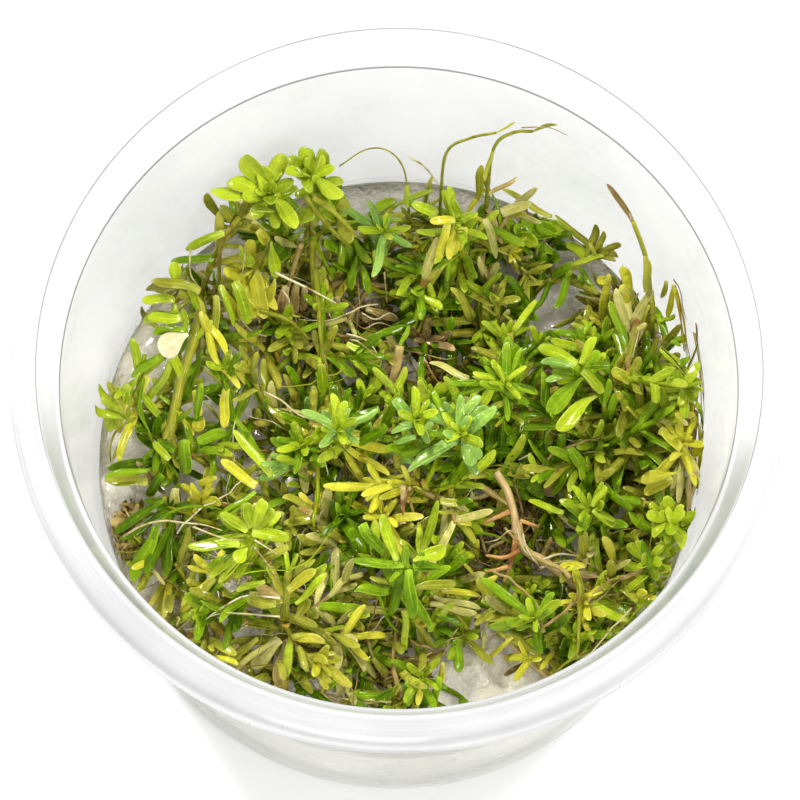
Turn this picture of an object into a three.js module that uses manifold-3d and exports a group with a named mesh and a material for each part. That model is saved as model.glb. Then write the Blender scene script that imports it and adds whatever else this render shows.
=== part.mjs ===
// Tissue-culture cup of round-leaved rotala: a clear cup, a disc of nutrient gel
// and the shoots that root in it. Millimetres, +Z up, origin at the middle of the cup's foot.
import * as THREE from 'three';
import { mergeVertices } from 'three/addons/utils/BufferGeometryUtils.js';
import Module from 'manifold-3d';

const wasm = await Module();
wasm.setup();

// Driving dimensions
const RIM_RADIUS = 50;
const CUP_HEIGHT = 72;
const FOOT_INNER = 36.8;
const FOOT_OUTER = 39;
const FOOT_RECESS = 0.8;
const WALL_LOW = [39.75, 3.2];
const WALL_HIGH = [43.9, 65.1];
const WALL_THICKNESS = 0.7;
const GEL_LEVEL = 30;
const GEL_FLOOR = 2;
const GAP = 0.3;
const AROUND = 36;
const FLOOR_TOP = 1.7;
const RIM_CREST = 47;
const SKIRT_INNER = 49.1;
const SKIRT_BOTTOM = 66.4;

// Stems are square prisms. A leaf's width is a share of its length, and its arch lifts its middle.
// Its outline is given as [place along the leaf, share of the full width].
const STEM_SIDES = 4;
const LEAF_THICKNESS = 0.75;
const LEAF_SLIMNESS = 0.35;
const LEAF_ARCH = 0.12;
const LEAF_LOWER_RING = [0.36, 0.72];
const LEAF_UPPER_RING = [0.78, 1];
const LEAF_SPREAD = 0.6;
const LAST_LEAF_PLACE = 0.97;

// Colour of each kind of tissue, then of the cup and the gel
const TONES = {
  lime: 0xa8c82a,
  green: 0x5c9a1a,
  deep: 0x3f6a22,
  blue: 0x5a9a45,
  yellow: 0xd8cc30,
  olive: 0x8a7c30,
  tan: 0xc8b070,
  cream: 0xe8dcae,
  brown: 0x7a4a2a,
};
const CUP_FINISH = { color: 0xf2f5ef, roughness: 0.18, metalness: 0, transparent: true, opacity: 0.45 };
const GEL_FINISH = { color: 0xc0b6a4, roughness: 0.12, metalness: 0 };
const LEAF_ROUGHNESS = 0.35;

// The shoots. Stem points are [x, y, height over the gel]. A leaf is [place along the stem from
// 0 at the root to 1 at the tip, direction in degrees from +X, length, rise in degrees].
// A clump of roots is [x, y, height, half width, half depth, half height].
const SHOOTS = [
  { name: 'crown_back_left', tone: 'blue', thick: 1.2,
    stem: [[-14, 27, -2], [-16, 29, 11], [-18.5, 31, 20]],
    leaves: [[1, 185, 8, 5], [1, 315, 6, 0], [1, 120, 6.5, 20], [0.95, 80, 6, 15], [0.93, 160, 6, 10]] },
  { name: 'crown_back_left_second', tone: 'green', thick: 1.1,
    stem: [[-7, 29, -2], [-9, 31, 11], [-13, 33.3, 22]],
    leaves: [[1, 105, 4, 20], [1, 320, 5.5, 0], [0.96, 65, 3.5, 15], [0.95, 5, 4, 0], [0.9, 180, 3, 10]] },
  { name: 'trailing_stem_left', tone: 'olive', thick: 1,
    stem: [[-28, 20.5, -2], [-28, 22, 4], [-26, 25, 12], [-23, 28, 16]],
    leaves: [[0.7, 195, 6, 0], [1, 60, 4, 30], [0.45, 330, 4, 10]] },
  { name: 'hanging_leaves_back_left', tone: 'yellow', thick: 1,
    stem: [[-17.5, 19.5, -2], [-19.5, 21.5, 5], [-21, 24, 10]],
    leaves: [[1, 260, 7, -10], [1, 290, 7, -10], [0.5, 320, 9, 0], [0.9, 205, 4, 10], [0.9, 65, 3, 20]],
    clump: [-16.5, 20.5, 1.9, 2, 2.4, 1.4] },
  { name: 'thick_stem_left', tone: 'lime', thick: 1.5,
    stem: [[-32, -4, -2], [-32, -2.5, 4], [-30, 8, 8], [-27.5, 17, 12], [-30.5, 18.5, 14]],
    leaves: [[1, 95, 6, 20], [1, 210, 5.5, 0], [0.86, 305, 7.5, -10], [0.2, 200, 8.5, 5],
      [0.2, 255, 5, 0]] },
  { name: 'wall_bunch_left', tone: 'lime', thick: 1,
    stem: [[-34.5, 1, -2], [-36, 5, 6], [-35, 10.5, 11]],
    leaves: [[0.6, 245, 8, 0], [1, 115, 4.7, 20], [0.8, 220, 5, 10], [0.7, 310, 5, 0], [1, 75, 4, 20]] },
  { name: 'blades_lower_left', tone: 'deep', thick: 1,
    stem: [[-29.5, -13, -2], [-30.5, -12, 3], [-31, -10, 6]],
    leaves: [[1, 220, 8, 0], [0.7, 265, 8, 5], [0.5, 300, 6, 5], [1, 60, 4, 20]] },
  { name: 'small_crown_left', tone: 'yellow', thick: 0.9,
    stem: [[-24.5, -12, -2], [-26, -10, 3], [-26.5, -8.5, 6]],
    leaves: [[1, 130, 3, 20], [1, 320, 3, 10], [1, 235, 3, 10], [0.8, 175, 4, 10]] },
  { name: 'root_clump_left', tone: 'tan', thick: 0.8,
    stem: [[-35, -13, -2], [-36, -12.5, 0.8], [-36.5, -11, 2]],
    leaves: [[1, 60, 3, 20]],
    clump: [-36.5, -12, 1.8, 1.7, 3.2, 1.3] },
  { name: 'crown_lower_left', tone: 'lime', thick: 1.2,
    stem: [[-18, -19, -2], [-18.5, -17.5, 7], [-19, -15.5, 14]],
    leaves: [[1, 195, 8.5, 5], [1, 355, 5, 10], [1, 80, 5, 20], [0.9, 225, 8, 0], [0.92, 255, 6, 0]] },
  { name: 'spears_lower_left', tone: 'yellow', thick: 1,
    stem: [[-26.5, -23.5, -2], [-25.5, -21, 3], [-24.2, -19, 6]],
    leaves: [[1, 230, 6.5, 0], [0.6, 215, 5, 0], [1, 170, 4, 15], [0.8, 330, 4, 10]] },
  { name: 'olive_stem_front_left', tone: 'olive', thick: 1.3,
    stem: [[-14.5, -28.5, -2], [-14.5, -25.5, 7], [-14, -21, 15]],
    leaves: [[1, 350, 6, 10], [1, 225, 7, 0], [0.3, 215, 5, 0], [0.3, 345, 7, 0], [0.9, 305, 6, 0]] },
  { name: 'pale_leaves_front', tone: 'cream', thick: 1,
    stem: [[-7, -27, -2], [-7, -26.5, 3], [-7.4, -26, 6]],
    leaves: [[1, 275, 6, 0], [1, 310, 7, -5], [0.6, 255, 7, 0], [0.8, 150, 3, 10]] },
  { name: 'green_leaves_front', tone: 'green', thick: 1,
    stem: [[3.5, -31, -2], [4, -31.5, 2], [4.2, -32, 4]],
    leaves: [[1, 290, 5, 0], [1, 215, 7, 0], [0.8, 330, 4, 10]],
    clump: [1.6, -31.2, 1.5, 2.8, 1.6, 1.2] },
  { name: 'gel_sprig_front', tone: 'green', thick: 0.9,
    stem: [[10, -26.5, -2], [9.7, -26, 0.5], [9.5, -25.7, 2.5]],
    leaves: [[1, 265, 5.5, 10], [1, 160, 3.5, 15], [1, 20, 4, 20], [0.9, 320, 6, 10]] },
  { name: 'crown_front_centre', tone: 'lime', thick: 1.3,
    stem: [[2.8, -27, -2], [2.5, -23, 8], [1.6, -19, 15]],
    leaves: [[1, 20, 5.6, 10], [1, 185, 9, 0], [0.95, 275, 8, -5], [1, 50, 4.7, 15], [0.85, 250, 7, 0]] },
  { name: 'blades_front_centre', tone: 'green', thick: 1,
    stem: [[-8, -14, -2], [-7.5, -12, 4], [-7, -10.5, 8]],
    leaves: [[1, 305, 7.5, 0], [0.8, 285, 5.5, 0], [1, 235, 5, 5], [0.9, 325, 6, 10]] },
  { name: 'curled_leaves_centre', tone: 'yellow', thick: 0.9,
    stem: [[-0.5, -14, -2], [-1, -12, 4], [-1.5, -10.5, 8]],
    leaves: [[1, 295, 7, 0], [0.8, 350, 4, 10], [0.9, 270, 4, 0]] },
  { name: 'crown_centre', tone: 'blue', thick: 1.2,
    stem: [[-7.5, -1.5, -2], [-7.5, -0.7, 8], [-7.9, -0.2, 14]],
    leaves: [[1, 155, 5.7, 10], [1, 20, 5.9, 10], [1, 90, 4.8, 20], [0.7, 320, 8, -5],
      [0.6, 295, 7, -5]] },
  { name: 'small_crown_centre', tone: 'green', thick: 0.9,
    stem: [[-13, -2.5, -2], [-13, -1.5, 4], [-13, -1, 8]],
    leaves: [[1, 130, 3, 20], [1, 260, 4.5, 0], [1, 170, 4, 10], [0.7, 275, 6, 0], [1, 345, 3, 10]] },
  { name: 'green_stem_centre', tone: 'green', thick: 1.1,
    stem: [[-11, 9, -2], [-10.8, 13, 5], [-10.8, 18.5, 9]],
    leaves: [[0.6, 275, 5, 5], [0.7, 345, 8, 0], [1, 95, 4, 20], [0.9, 210, 4, 10]] },
  { name: 'yellow_leaves_centre', tone: 'yellow', thick: 1,
    stem: [[5, -8.5, -2], [4.5, -7, 5], [2, -6.8, 9], [-2, -7.2, 10]],
    leaves: [[1, 185, 8, 0], [0.7, 172, 6.5, 10], [0.4, 330, 4, 10]] },
  { name: 'crown_blue_left', tone: 'blue', thick: 1.1,
    stem: [[3, -2.5, -2], [2.5, -1, 9], [2.6, 0.7, 16]],
    leaves: [[1, 240, 5, 5], [1, 140, 4, 15], [1, 60, 3.5, 20], [0.95, 185, 4, 10], [0.95, 310, 4, 10]] },
  { name: 'crown_blue_centre', tone: 'blue', thick: 1.2,
    stem: [[9, -3.5, -2], [9, -2.5, 9], [8.5, -1.5, 17]],
    leaves: [[1, 120, 7, 10], [1, 35, 6, 10], [1, 300, 5.5, 5], [1, 230, 8, 0], [0.95, 60, 6, 15]] },
  { name: 'star_crown', tone: 'lime', thick: 1.2,
    stem: [[16, 4, -2], [15, 4.8, 9], [14.4, 5.9, 17]],
    leaves: [[1, 165, 10, 5], [1, 90, 6.7, 15], [1, 325, 8, 0], [1, 60, 5.3, 15], [0.95, 235, 4, 5]] },
  { name: 'crown_right', tone: 'lime', thick: 1.2,
    stem: [[25.5, 8.5, -2], [24.7, 8.3, 10], [24, 8, 18]],
    leaves: [[1, 145, 6.3, 10], [1, 60, 5.1, 15], [0.9, 225, 6.8, 0], [1, 335, 3.5, 10],
      [0.95, 170, 5.7, 5]] },
  { name: 'glossy_leaves_right', tone: 'lime', thick: 1,
    stem: [[29.5, 4, -2], [28.7, 4.2, 7], [28, 4.5, 12]],
    leaves: [[1, 215, 7, 0], [0.6, 245, 6, 0], [1, 75, 4, 20]] },
  { name: 'dark_blades_right', tone: 'deep', thick: 0.9,
    stem: [[19, -4, -2], [18.3, -1.5, 3], [17.5, 0.5, 6]],
    leaves: [[1, 265, 6, 5], [0.5, 345, 4.5, 10], [0.8, 285, 6, 5]] },
  { name: 'hairy_stem', tone: 'tan', thick: 1.5,
    stem: [[28.5, -20.5, -2], [25.5, -18.5, 1.5], [21, -16, 3], [17.5, -14, 4.5], [16, -9, 7.5],
      [15, -6.5, 9], [13.5, -4.5, 10]],
    leaves: [[0.78, 200, 4, -10], [0.45, 185, 5, 0], [0.35, 0, 7, 0], [0.6, 200, 4, -5],
      [0.5, 75, 3.5, 10]] },
  { name: 'small_crown_right', tone: 'lime', thick: 1,
    stem: [[28.5, -12, -2], [27.3, -10.5, 6], [26.6, -9.7, 11]],
    leaves: [[1, 65, 4, 15], [1, 320, 4, 10], [1, 175, 3.5, 10], [0.5, 265, 7, 0], [1, 255, 3.5, 5]] },
  { name: 'yellow_pods_right', tone: 'yellow', thick: 1,
    stem: [[24.5, -22.5, -2], [25, -21.5, 3], [25.5, -21, 6]],
    leaves: [[1, 330, 7, 0], [0.9, 190, 4, 10], [1, 100, 3, 20]] },
  { name: 'crown_front_right', tone: 'green', thick: 1.2,
    stem: [[20.5, -26, -2], [20, -25.5, 5], [19, -25, 10]],
    leaves: [[1, 140, 9, 5], [1, 195, 6.2, 5], [1, 280, 5.5, 0], [1, 50, 4.5, 15], [0.9, 20, 4, 10]] },
  { name: 'pale_pair_front', tone: 'cream', thick: 0.9,
    stem: [[6, -22, -2], [5.8, -21.5, 2], [5.5, -21, 5]],
    leaves: [[1, 0, 6.5, 0], [0.8, 350, 6, -5], [1, 95, 4, 20]] },
  { name: 'tan_stem_front_right', tone: 'tan', thick: 1.1,
    stem: [[23, -32, -2], [21.5, -30.5, 0.9], [18.5, -28.5, 2], [15.5, -26, 3.5]],
    leaves: [[1, 135, 3, 10], [0.6, 220, 4, 0]] },
  { name: 'green_leaves_front_right', tone: 'green', thick: 1,
    stem: [[25.5, -27, -2], [25.3, -26.5, 1.5], [25, -26, 4]],
    leaves: [[1, 10, 6.2, 5], [0.8, 330, 5, 5], [1, 130, 3, 20]] },
  { name: 'wall_crown_right', tone: 'lime', thick: 1.1,
    stem: [[36, -12.5, -2], [36.7, -12, 6], [37, -11.2, 12]],
    leaves: [[1, 295, 5.2, 5], [1, 225, 3.5, 5], [1, 120, 3.5, 20], [0.9, 345, 3.9, 30], [1, 40, 3, 40]] },
  { name: 'leaf_pairs_lower_right', tone: 'lime', thick: 1,
    stem: [[33.5, -18, -2], [34, -17, 4], [34.5, -16, 8]],
    leaves: [[1, 120, 3.5, 15], [1, 300, 3.5, 5], [0.9, 190, 3.5, 5], [0.6, 260, 5, 0]] },
  { name: 'yellow_bunch_right', tone: 'yellow', thick: 1.1,
    stem: [[38.3, -5, -2], [38.8, -3, 6], [38.8, 0, 12]],
    leaves: [[1, 280, 9, -5], [0.9, 225, 8.4, -5], [0.8, 260, 8, -5], [1, 100, 4, 20]] },
  { name: 'whorl_right', tone: 'lime', thick: 1.1,
    stem: [[31.5, 9, -2], [31.3, 8.5, 10], [33, 7.7, 15], [38.5, 6.2, 16.5]],
    leaves: [[1, 170, 3, 30], [1, 335, 3, 30], [1, 265, 3, 10], [1, 60, 3.5, 30]] },
  { name: 'diagonal_stem_right', tone: 'green', thick: 1.1,
    stem: [[24, 0, -2], [27, 0.6, 4], [31.5, 1.7, 9], [36.5, 3.6, 12]],
    leaves: [[0.65, 265, 8, -5], [0.9, 320, 4, 5], [1, 15, 4, 20], [0.4, 300, 4, 5]] },
  { name: 'mossy_stem_right', tone: 'olive', thick: 1.8,
    stem: [[35, 12, -2], [34.7, 14.5, 5], [34.7, 18.5, 11]],
    leaves: [[1, 100, 3.5, 30], [0.7, 230, 4, 10]] },
  { name: 'tall_leaf_right', tone: 'yellow', thick: 1.2,
    stem: [[34, 18.5, -2], [34.5, 21, 8], [33.2, 24, 18], [31, 27, 24]],
    leaves: [[1, 125, 7, 20], [0.4, 250, 7, -10], [0.5, 280, 6, -10]] },
  { name: 'brown_tip_right', tone: 'olive', thick: 1,
    stem: [[37.5, 12, -2], [39.5, 11, 10], [40.3, 11.5, 19]],
    leaves: [[1, 110, 3.5, 50], [0.5, 300, 3, 30]] },
  { name: 'brown_stem_back_right', tone: 'olive', thick: 0.9,
    stem: [[17.5, 23.5, -2], [19.5, 25, 3.5], [23, 26.5, 6], [27, 28, 9]],
    leaves: [[1, 25, 4.5, 20], [0.7, 255, 6.5, 0], [0.8, 305, 4, 5], [0.45, 185, 4, 5]] },
  { name: 'wet_leaves_back_right', tone: 'deep', thick: 1,
    stem: [[17, 31.5, -2], [16.5, 32, 1], [16, 32.5, 4]],
    leaves: [[1, 15, 6.5, 5], [1, 335, 6.5, 0], [0.9, 280, 4, 5]] },
  { name: 'bent_stem_back', tone: 'olive', thick: 0.8,
    stem: [[5, 31, -2], [5, 33.5, 14], [5.5, 35.5, 26], [8.5, 36, 30], [12, 36.3, 31.5]],
    leaves: [[1, 20, 3, 20], [0.45, 230, 4, 10]] },
  { name: 'bent_stem_back_right', tone: 'olive', thick: 0.8,
    stem: [[11.5, 33.5, -2], [11.5, 35.5, 12], [12, 37, 25], [14.5, 37.7, 28.5], [17, 37.7, 29]],
    leaves: [[0.75, 250, 4.5, -10], [0.3, 295, 6, 0], [0.4, 30, 5, 10], [1, 20, 4, 20]] },
  { name: 'root_arch_back', tone: 'cream', thick: 0.7,
    stem: [[1, 33, -2], [0.5, 34, 12], [-0.3, 34.8, 22], [-2.5, 35.8, 25.5], [-5.5, 36, 25],
      [-9, 34.5, 22.5]],
    leaves: [[0.5, 270, 3.3, -10], [0.4, 325, 5, 0], [1, 230, 3, 0]] },
  { name: 'yellow_crown_back', tone: 'yellow', thick: 1.1,
    stem: [[9, 27.5, -2], [8, 28.3, 10], [7.3, 29, 17]],
    leaves: [[1, 105, 5.6, 10], [1, 255, 7, -10], [1, 180, 4, 10], [0.95, 30, 4, 10], [0.4, 240, 8, 0]] },
  { name: 'crown_back', tone: 'blue', thick: 1.1,
    stem: [[-3, 26, -2], [-3, 27.2, 8], [-2.5, 28.3, 14]],
    leaves: [[1, 155, 5, 10], [1, 260, 6.8, 0], [0.9, 140, 8.3, 5], [0.5, 335, 5.5, 5],
      [1, 325, 4.3, 5]] },
  { name: 'dark_blades_back', tone: 'deep', thick: 1,
    stem: [[5, 18.5, -2], [4.5, 19.5, 3], [4, 20, 6]],
    leaves: [[1, 10, 6, 5], [1, 215, 7, 0], [0.8, 60, 4, 20]] },
  { name: 'decayed_clump_back', tone: 'brown', thick: 0.9,
    stem: [[-4, 18.5, -2], [-4, 19, 0.8], [-4, 19.5, 2]],
    leaves: [[1, 95, 3, 20], [1, 190, 5, 10]],
    clump: [-4, 18.5, 1.9, 2.3, 1.8, 1.4] },
  { name: 'flat_stem_back', tone: 'tan', thick: 1.1,
    stem: [[-11.5, 23, -2], [-11.3, 23.3, 3], [-8, 23.6, 6.5], [-2, 23.4, 6]],
    leaves: [[0.5, 110, 3, 20]] },
  { name: 'striped_stem_centre', tone: 'tan', thick: 1.5,
    stem: [[-1, 6.5, -2], [-0.9, 8.5, 4], [0, 14, 8]],
    leaves: [[1, 60, 3, 20], [0.5, 230, 4, 10]] },
  { name: 'root_clump_centre', tone: 'brown', thick: 0.9,
    stem: [[5.3, 11, -2], [4.3, 13, 2], [3.3, 15.5, 6.5]],
    leaves: [[1, 265, 7, 5], [1, 340, 4.8, 10]],
    clump: [5, 11.6, 1.8, 1.8, 2.2, 1.4] },
  { name: 'olive_stem_back', tone: 'olive', thick: 1.2,
    stem: [[15, 14, -2], [14, 17, 4], [13.2, 20.5, 8]],
    leaves: [[1, 75, 4, 20], [0.6, 205, 4, 10], [0.8, 330, 4, 10]] },
  { name: 'thin_stem_left', tone: 'olive', thick: 0.9,
    stem: [[-15.5, 2, -2], [-18, 5, 5], [-20.5, 9.5, 8]],
    leaves: [[1, 110, 4, 20], [0.6, 320, 4, 10], [0.8, 215, 4, 5]] },
  { name: 'leaves_left', tone: 'green', thick: 1,
    stem: [[-23, 2, -2], [-22.8, 3.5, 4], [-24.3, 9.5, 9]],
    leaves: [[0.5, 305, 8, 0], [1, 315, 4, 10], [0.4, 250, 4, 5], [1, 160, 3.5, 15], [0.8, 265, 6, 0]] },
];

const rad = THREE.MathUtils.degToRad;

// A closed geometry with one vertex at each corner
function welded(geometry) {
  const plain = geometry.index ? geometry.toNonIndexed() : geometry.clone();
  plain.deleteAttribute('normal');
  plain.deleteAttribute('uv');
  return mergeVertices(plain, 1e-4);
}

function solidOf(geometry) {
  const closed = welded(geometry);
  const vertProperties = new Float32Array(closed.attributes.position.array);
  const triVerts = new Uint32Array(closed.index.array);
  return new wasm.Manifold(new wasm.Mesh({ numProp: 3, vertProperties, triVerts }));
}

function geometryOf(solid) {
  const mesh = solid.getMesh();
  const geometry = new THREE.BufferGeometry();
  geometry.setAttribute('position', new THREE.BufferAttribute(new Float32Array(mesh.vertProperties), 3));
  geometry.setIndex(new THREE.BufferAttribute(new Uint32Array(mesh.triVerts), 1));
  const flat = geometry.toNonIndexed();
  flat.computeVertexNormals();
  return flat;
}

// A turned body about Z from [radius, height] pairs
function turned(profile) {
  const points = profile.map(([r, z]) => new THREE.Vector2(r, z));
  return new THREE.LatheGeometry(points, AROUND).rotateX(Math.PI / 2);
}

function wallRadius(height) {
  const z = GEL_LEVEL + height;
  const share = (z - WALL_LOW[1]) / (WALL_HIGH[1] - WALL_LOW[1]);
  return WALL_LOW[0] + (WALL_HIGH[0] - WALL_LOW[0]) * share;
}

// Cup: thin tapered wall, foot ring under a shallow recess, rolled rim with a short skirt
function cupGeometry() {
  const [lowR, lowZ] = WALL_LOW;
  const [highR, highZ] = WALL_HIGH;
  const outer = highR + WALL_THICKNESS;
  const foot = [[FOOT_INNER - 0.6, FOOT_RECESS], [FOOT_INNER, 0], [FOOT_OUTER, 0], [40.3, 1.2]];
  const underRim = [[outer, 64], [RIM_CREST - 0.3, 69.2], [RIM_CREST + 0.6, 70.6], [48.8, 69.4]];
  const skirt = [[SKIRT_INNER, SKIRT_BOTTOM], [RIM_RADIUS, SKIRT_BOTTOM], [RIM_RADIUS, 70]];
  const rim = [[48.6, 71.7], [RIM_CREST, CUP_HEIGHT], [46.1, 71]];
  const inside = [[highR, highZ], [lowR, lowZ], [38.6, FLOOR_TOP], [0, FLOOR_TOP]];
  return turned([[0, FOOT_RECESS], ...foot, ...underRim, ...skirt, ...rim, ...inside]);
}

// Gel: fills the cup to its level, with a thin raised edge where it wets the wall
function gelGeometry() {
  const low = WALL_LOW[0] - GAP;
  const edge = wallRadius(1) - GAP;
  return turned([
    [0, GEL_FLOOR], [38.2, GEL_FLOOR], [low, 3.5], [edge, GEL_LEVEL + 1],
    [40.2, GEL_LEVEL], [0, GEL_LEVEL],
  ]);
}

// Straight runs between evenly spaced points of a smooth curve through the stem's points
function stemPath(points, drop) {
  const lifted = points.map(([x, y, h]) => new THREE.Vector3(x, y, GEL_LEVEL + h));
  lifted[0].z -= drop;
  const smooth = new THREE.CatmullRomCurve3(lifted, false, 'centripetal');
  const path = new THREE.CurvePath();
  const spots = smooth.getSpacedPoints(points.length);
  for (let i = 1; i < spots.length; i++) path.add(new THREE.LineCurve3(spots[i - 1], spots[i]));
  return path;
}

// Stem: a slim prism that follows its curve
function stemGeometry(shoot, spare) {
  const half = shoot.thick / 2 + spare;
  const section = new THREE.Shape();
  for (let i = 0; i < STEM_SIDES; i++) {
    const angle = (i + 0.5) * 2 * Math.PI / STEM_SIDES;
    const x = half * Math.cos(angle);
    const y = half * Math.sin(angle);
    if (i === 0) section.moveTo(x, y);
    else section.lineTo(x, y);
  }
  const steps = shoot.stem.length;
  const extrudePath = stemPath(shoot.stem, spare);
  return new THREE.ExtrudeGeometry(section, { steps, extrudePath, bevelEnabled: false });
}

// Leaf: a flat three-sided spindle, widest past its middle, growing along +X from its stalk
function leafGeometry(length, width, thickness) {
  const geometry = new THREE.SphereGeometry(1, 3, 3).rotateZ(-Math.PI / 2).rotateX(Math.PI / 6);
  const position = geometry.attributes.position;
  for (let i = 0; i < position.count; i++) {
    const along = position.getX(i);
    const [place, broad] = along < 0 ? LEAF_LOWER_RING : LEAF_UPPER_RING;
    const end = Math.abs(along) > 0.9;
    const reach = end ? Math.round((1 + along) / 2) : place;
    const arch = LEAF_ARCH * length * Math.sin(0.8 * Math.PI * reach);
    const y = position.getY(i) * broad * width * LEAF_SPREAD;
    const z = position.getZ(i) * thickness * LEAF_SPREAD + arch;
    position.setXYZ(i, reach * length, y, z);
  }
  return geometry;
}

function leafMatrix(base, direction, rise) {
  const turn = new THREE.Matrix4().makeRotationZ(rad(direction));
  const tilt = new THREE.Matrix4().makeRotationY(-rad(rise));
  return new THREE.Matrix4().makeTranslation(base.x, base.y, base.z).multiply(turn).multiply(tilt);
}

function clearOfCup(geometry) {
  const position = geometry.attributes.position;
  for (let i = 0; i < position.count; i++) {
    const radius = Math.hypot(position.getX(i), position.getY(i));
    const height = position.getZ(i) - GEL_LEVEL;
    if (height < 0.1 || radius > wallRadius(height) - GAP) return false;
  }
  return true;
}

function boxesMeet(a, b) {
  return [0, 1, 2].every((k) => a.min[k] < b.max[k] && b.min[k] < a.max[k]);
}

function clearOfOthers(solid, own, grown) {
  const box = solid.boundingBox();
  return grown.every((other) => {
    if (other === own || !boxesMeet(box, other.box)) return true;
    return solid.intersect(other.solid).isEmpty();
  });
}

// The first of a leaf's poses, near the wanted one, that is free of cup, gel and other shoots
function* leafPoses([place, direction, length, rise]) {
  for (const shorter of [1, 0.85, 0.7]) {
    for (const lift of [0, 12, 25, 40, 55, -12]) {
      for (const swing of [0, 12, -12]) {
        yield { place, direction: direction + swing, length: length * shorter, rise: rise + lift };
      }
    }
  }
}

function growLeaf(wanted, plant, grown) {
  for (const pose of leafPoses(wanted)) {
    const base = plant.curve.getPointAt(pose.place * LAST_LEAF_PLACE);
    const width = pose.length * LEAF_SLIMNESS;
    const matrix = leafMatrix(base, pose.direction, pose.rise);
    const fat = leafGeometry(pose.length + GAP, width + 2 * GAP, LEAF_THICKNESS + 2 * GAP);
    fat.applyMatrix4(matrix);
    if (!clearOfCup(fat) || !clearOfOthers(solidOf(fat), plant, grown)) continue;
    const leaf = leafGeometry(pose.length, width, LEAF_THICKNESS).applyMatrix4(matrix);
    plant.solid = plant.solid.add(solidOf(leaf));
    plant.box = plant.solid.boundingBox();
    return true;
  }
  return false;
}

// A tangle of roots or dead tissue, as a lump
function clumpSolid([x, y, h, rx, ry, rz]) {
  const lump = new THREE.SphereGeometry(1, 5, 4).rotateX(Math.PI / 2).scale(rx, ry, rz);
  return solidOf(lump.translate(x, y, GEL_LEVEL + h));
}

// Every shoot grows its first leaf before any grows its second
function growPlants() {
  const most = Math.max(...SHOOTS.map((shoot) => shoot.leaves.length));
  const grown = SHOOTS.map((shoot) => {
    let solid = solidOf(stemGeometry(shoot, 0));
    if (shoot.clump) solid = solid.add(clumpSolid(shoot.clump));
    return { shoot, solid, box: solid.boundingBox(), curve: stemPath(shoot.stem, 0) };
  });
  for (let turn = 0; turn < most; turn++) {
    for (const plant of grown) {
      const wanted = plant.shoot.leaves[turn];
      if (wanted) growLeaf(wanted, plant, grown);
    }
  }
  return grown;
}

const object = new THREE.Group();

const cup = new THREE.Mesh(cupGeometry(), new THREE.MeshStandardMaterial(CUP_FINISH));
cup.name = 'cup';
object.add(cup);

// Every stem stands in a pocket of the gel. A square stem's faces lie nearer than its corners, so
// the pocket's corners stand farther off than the gap.
const POCKET_SPARE = GAP * 1.45;
let gelSolid = solidOf(gelGeometry());
for (const shoot of SHOOTS) {
  gelSolid = gelSolid.subtract(solidOf(stemGeometry(shoot, POCKET_SPARE)));
}
const gel = new THREE.Mesh(geometryOf(gelSolid), new THREE.MeshStandardMaterial(GEL_FINISH));
gel.name = 'agar_gel';
object.add(gel);

const plants = new THREE.Group();
for (const { shoot, solid } of growPlants()) {
  const [x, y, h] = shoot.stem[0];
  const geometry = geometryOf(solid).translate(-x, -y, -(GEL_LEVEL + h));
  const finish = { color: TONES[shoot.tone], roughness: LEAF_ROUGHNESS, metalness: 0 };
  const mesh = new THREE.Mesh(geometry, new THREE.MeshStandardMaterial(finish));
  mesh.name = shoot.name;
  mesh.position.set(x, y, GEL_LEVEL + h);
  plants.add(mesh);
}
object.add(plants);

export default object;
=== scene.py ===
"""Tissue culture cup of round-leaved rotala: clear cup, cloudy gel, and the shoots rooted in it."""
import math
import random
from collections import namedtuple

import bmesh
import bpy
from mathutils import Matrix, Vector, noise


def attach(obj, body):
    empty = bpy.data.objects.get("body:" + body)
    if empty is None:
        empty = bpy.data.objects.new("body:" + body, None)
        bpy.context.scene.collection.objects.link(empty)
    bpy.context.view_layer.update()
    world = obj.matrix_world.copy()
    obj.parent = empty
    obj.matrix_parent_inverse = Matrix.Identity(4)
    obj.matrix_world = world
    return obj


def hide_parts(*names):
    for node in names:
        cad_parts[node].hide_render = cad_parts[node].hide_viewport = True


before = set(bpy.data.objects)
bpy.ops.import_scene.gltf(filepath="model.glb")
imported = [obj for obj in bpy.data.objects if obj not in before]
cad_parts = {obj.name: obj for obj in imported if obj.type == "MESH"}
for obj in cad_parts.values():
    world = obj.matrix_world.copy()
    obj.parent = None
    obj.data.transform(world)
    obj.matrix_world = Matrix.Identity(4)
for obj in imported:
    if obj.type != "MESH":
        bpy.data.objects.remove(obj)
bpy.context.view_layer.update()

MM = 0.001
FULL_TURN = 2 * math.pi

# Driving dimensions of the cup and gel, in millimetres, as the frame has them. The ends of the wall's
# inner face are (radius, height). GEL_FLAT is the radius where the gel starts to climb the wall.
RIM_RADIUS = 50.0
CUP_HEIGHT = 72.0
WALL_LOW = (39.75, 3.2)
WALL_HIGH = (43.9, 65.1)
WALL_THICKNESS = 0.7
WALL_TOP = 64.9
NECK_HEIGHT = 63.6
GEL_LEVEL = 30.0
GEL_FLOOR = 2.0
GEL_FOOT = 3.5
GEL_FLAT = 39.6
GEL_GAP = 0.3

# Faces along and round the cup and the gel
WALL_STEPS = 9
CUP_SECTORS = 160
GEL_RINGS = 84
GEL_SIDE_STEPS = 8
GEL_SECTORS = 220

# How near to the wall a plant stands, and over what depth it is eased away from it
WALL_SPARE = 0.4
WALL_EASE = 1.1

# Camera: height angle, turn about its own axis, distance from the point it looks at, lens
CAMERA_HEIGHT_ANGLE = math.radians(71.37)
CAMERA_TURN = math.radians(1.69)
CAMERA_DISTANCE = 450.0
CAMERA_TARGET = (0.2, 0.0, 56.0)
CAMERA_LENS = 153.4

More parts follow.
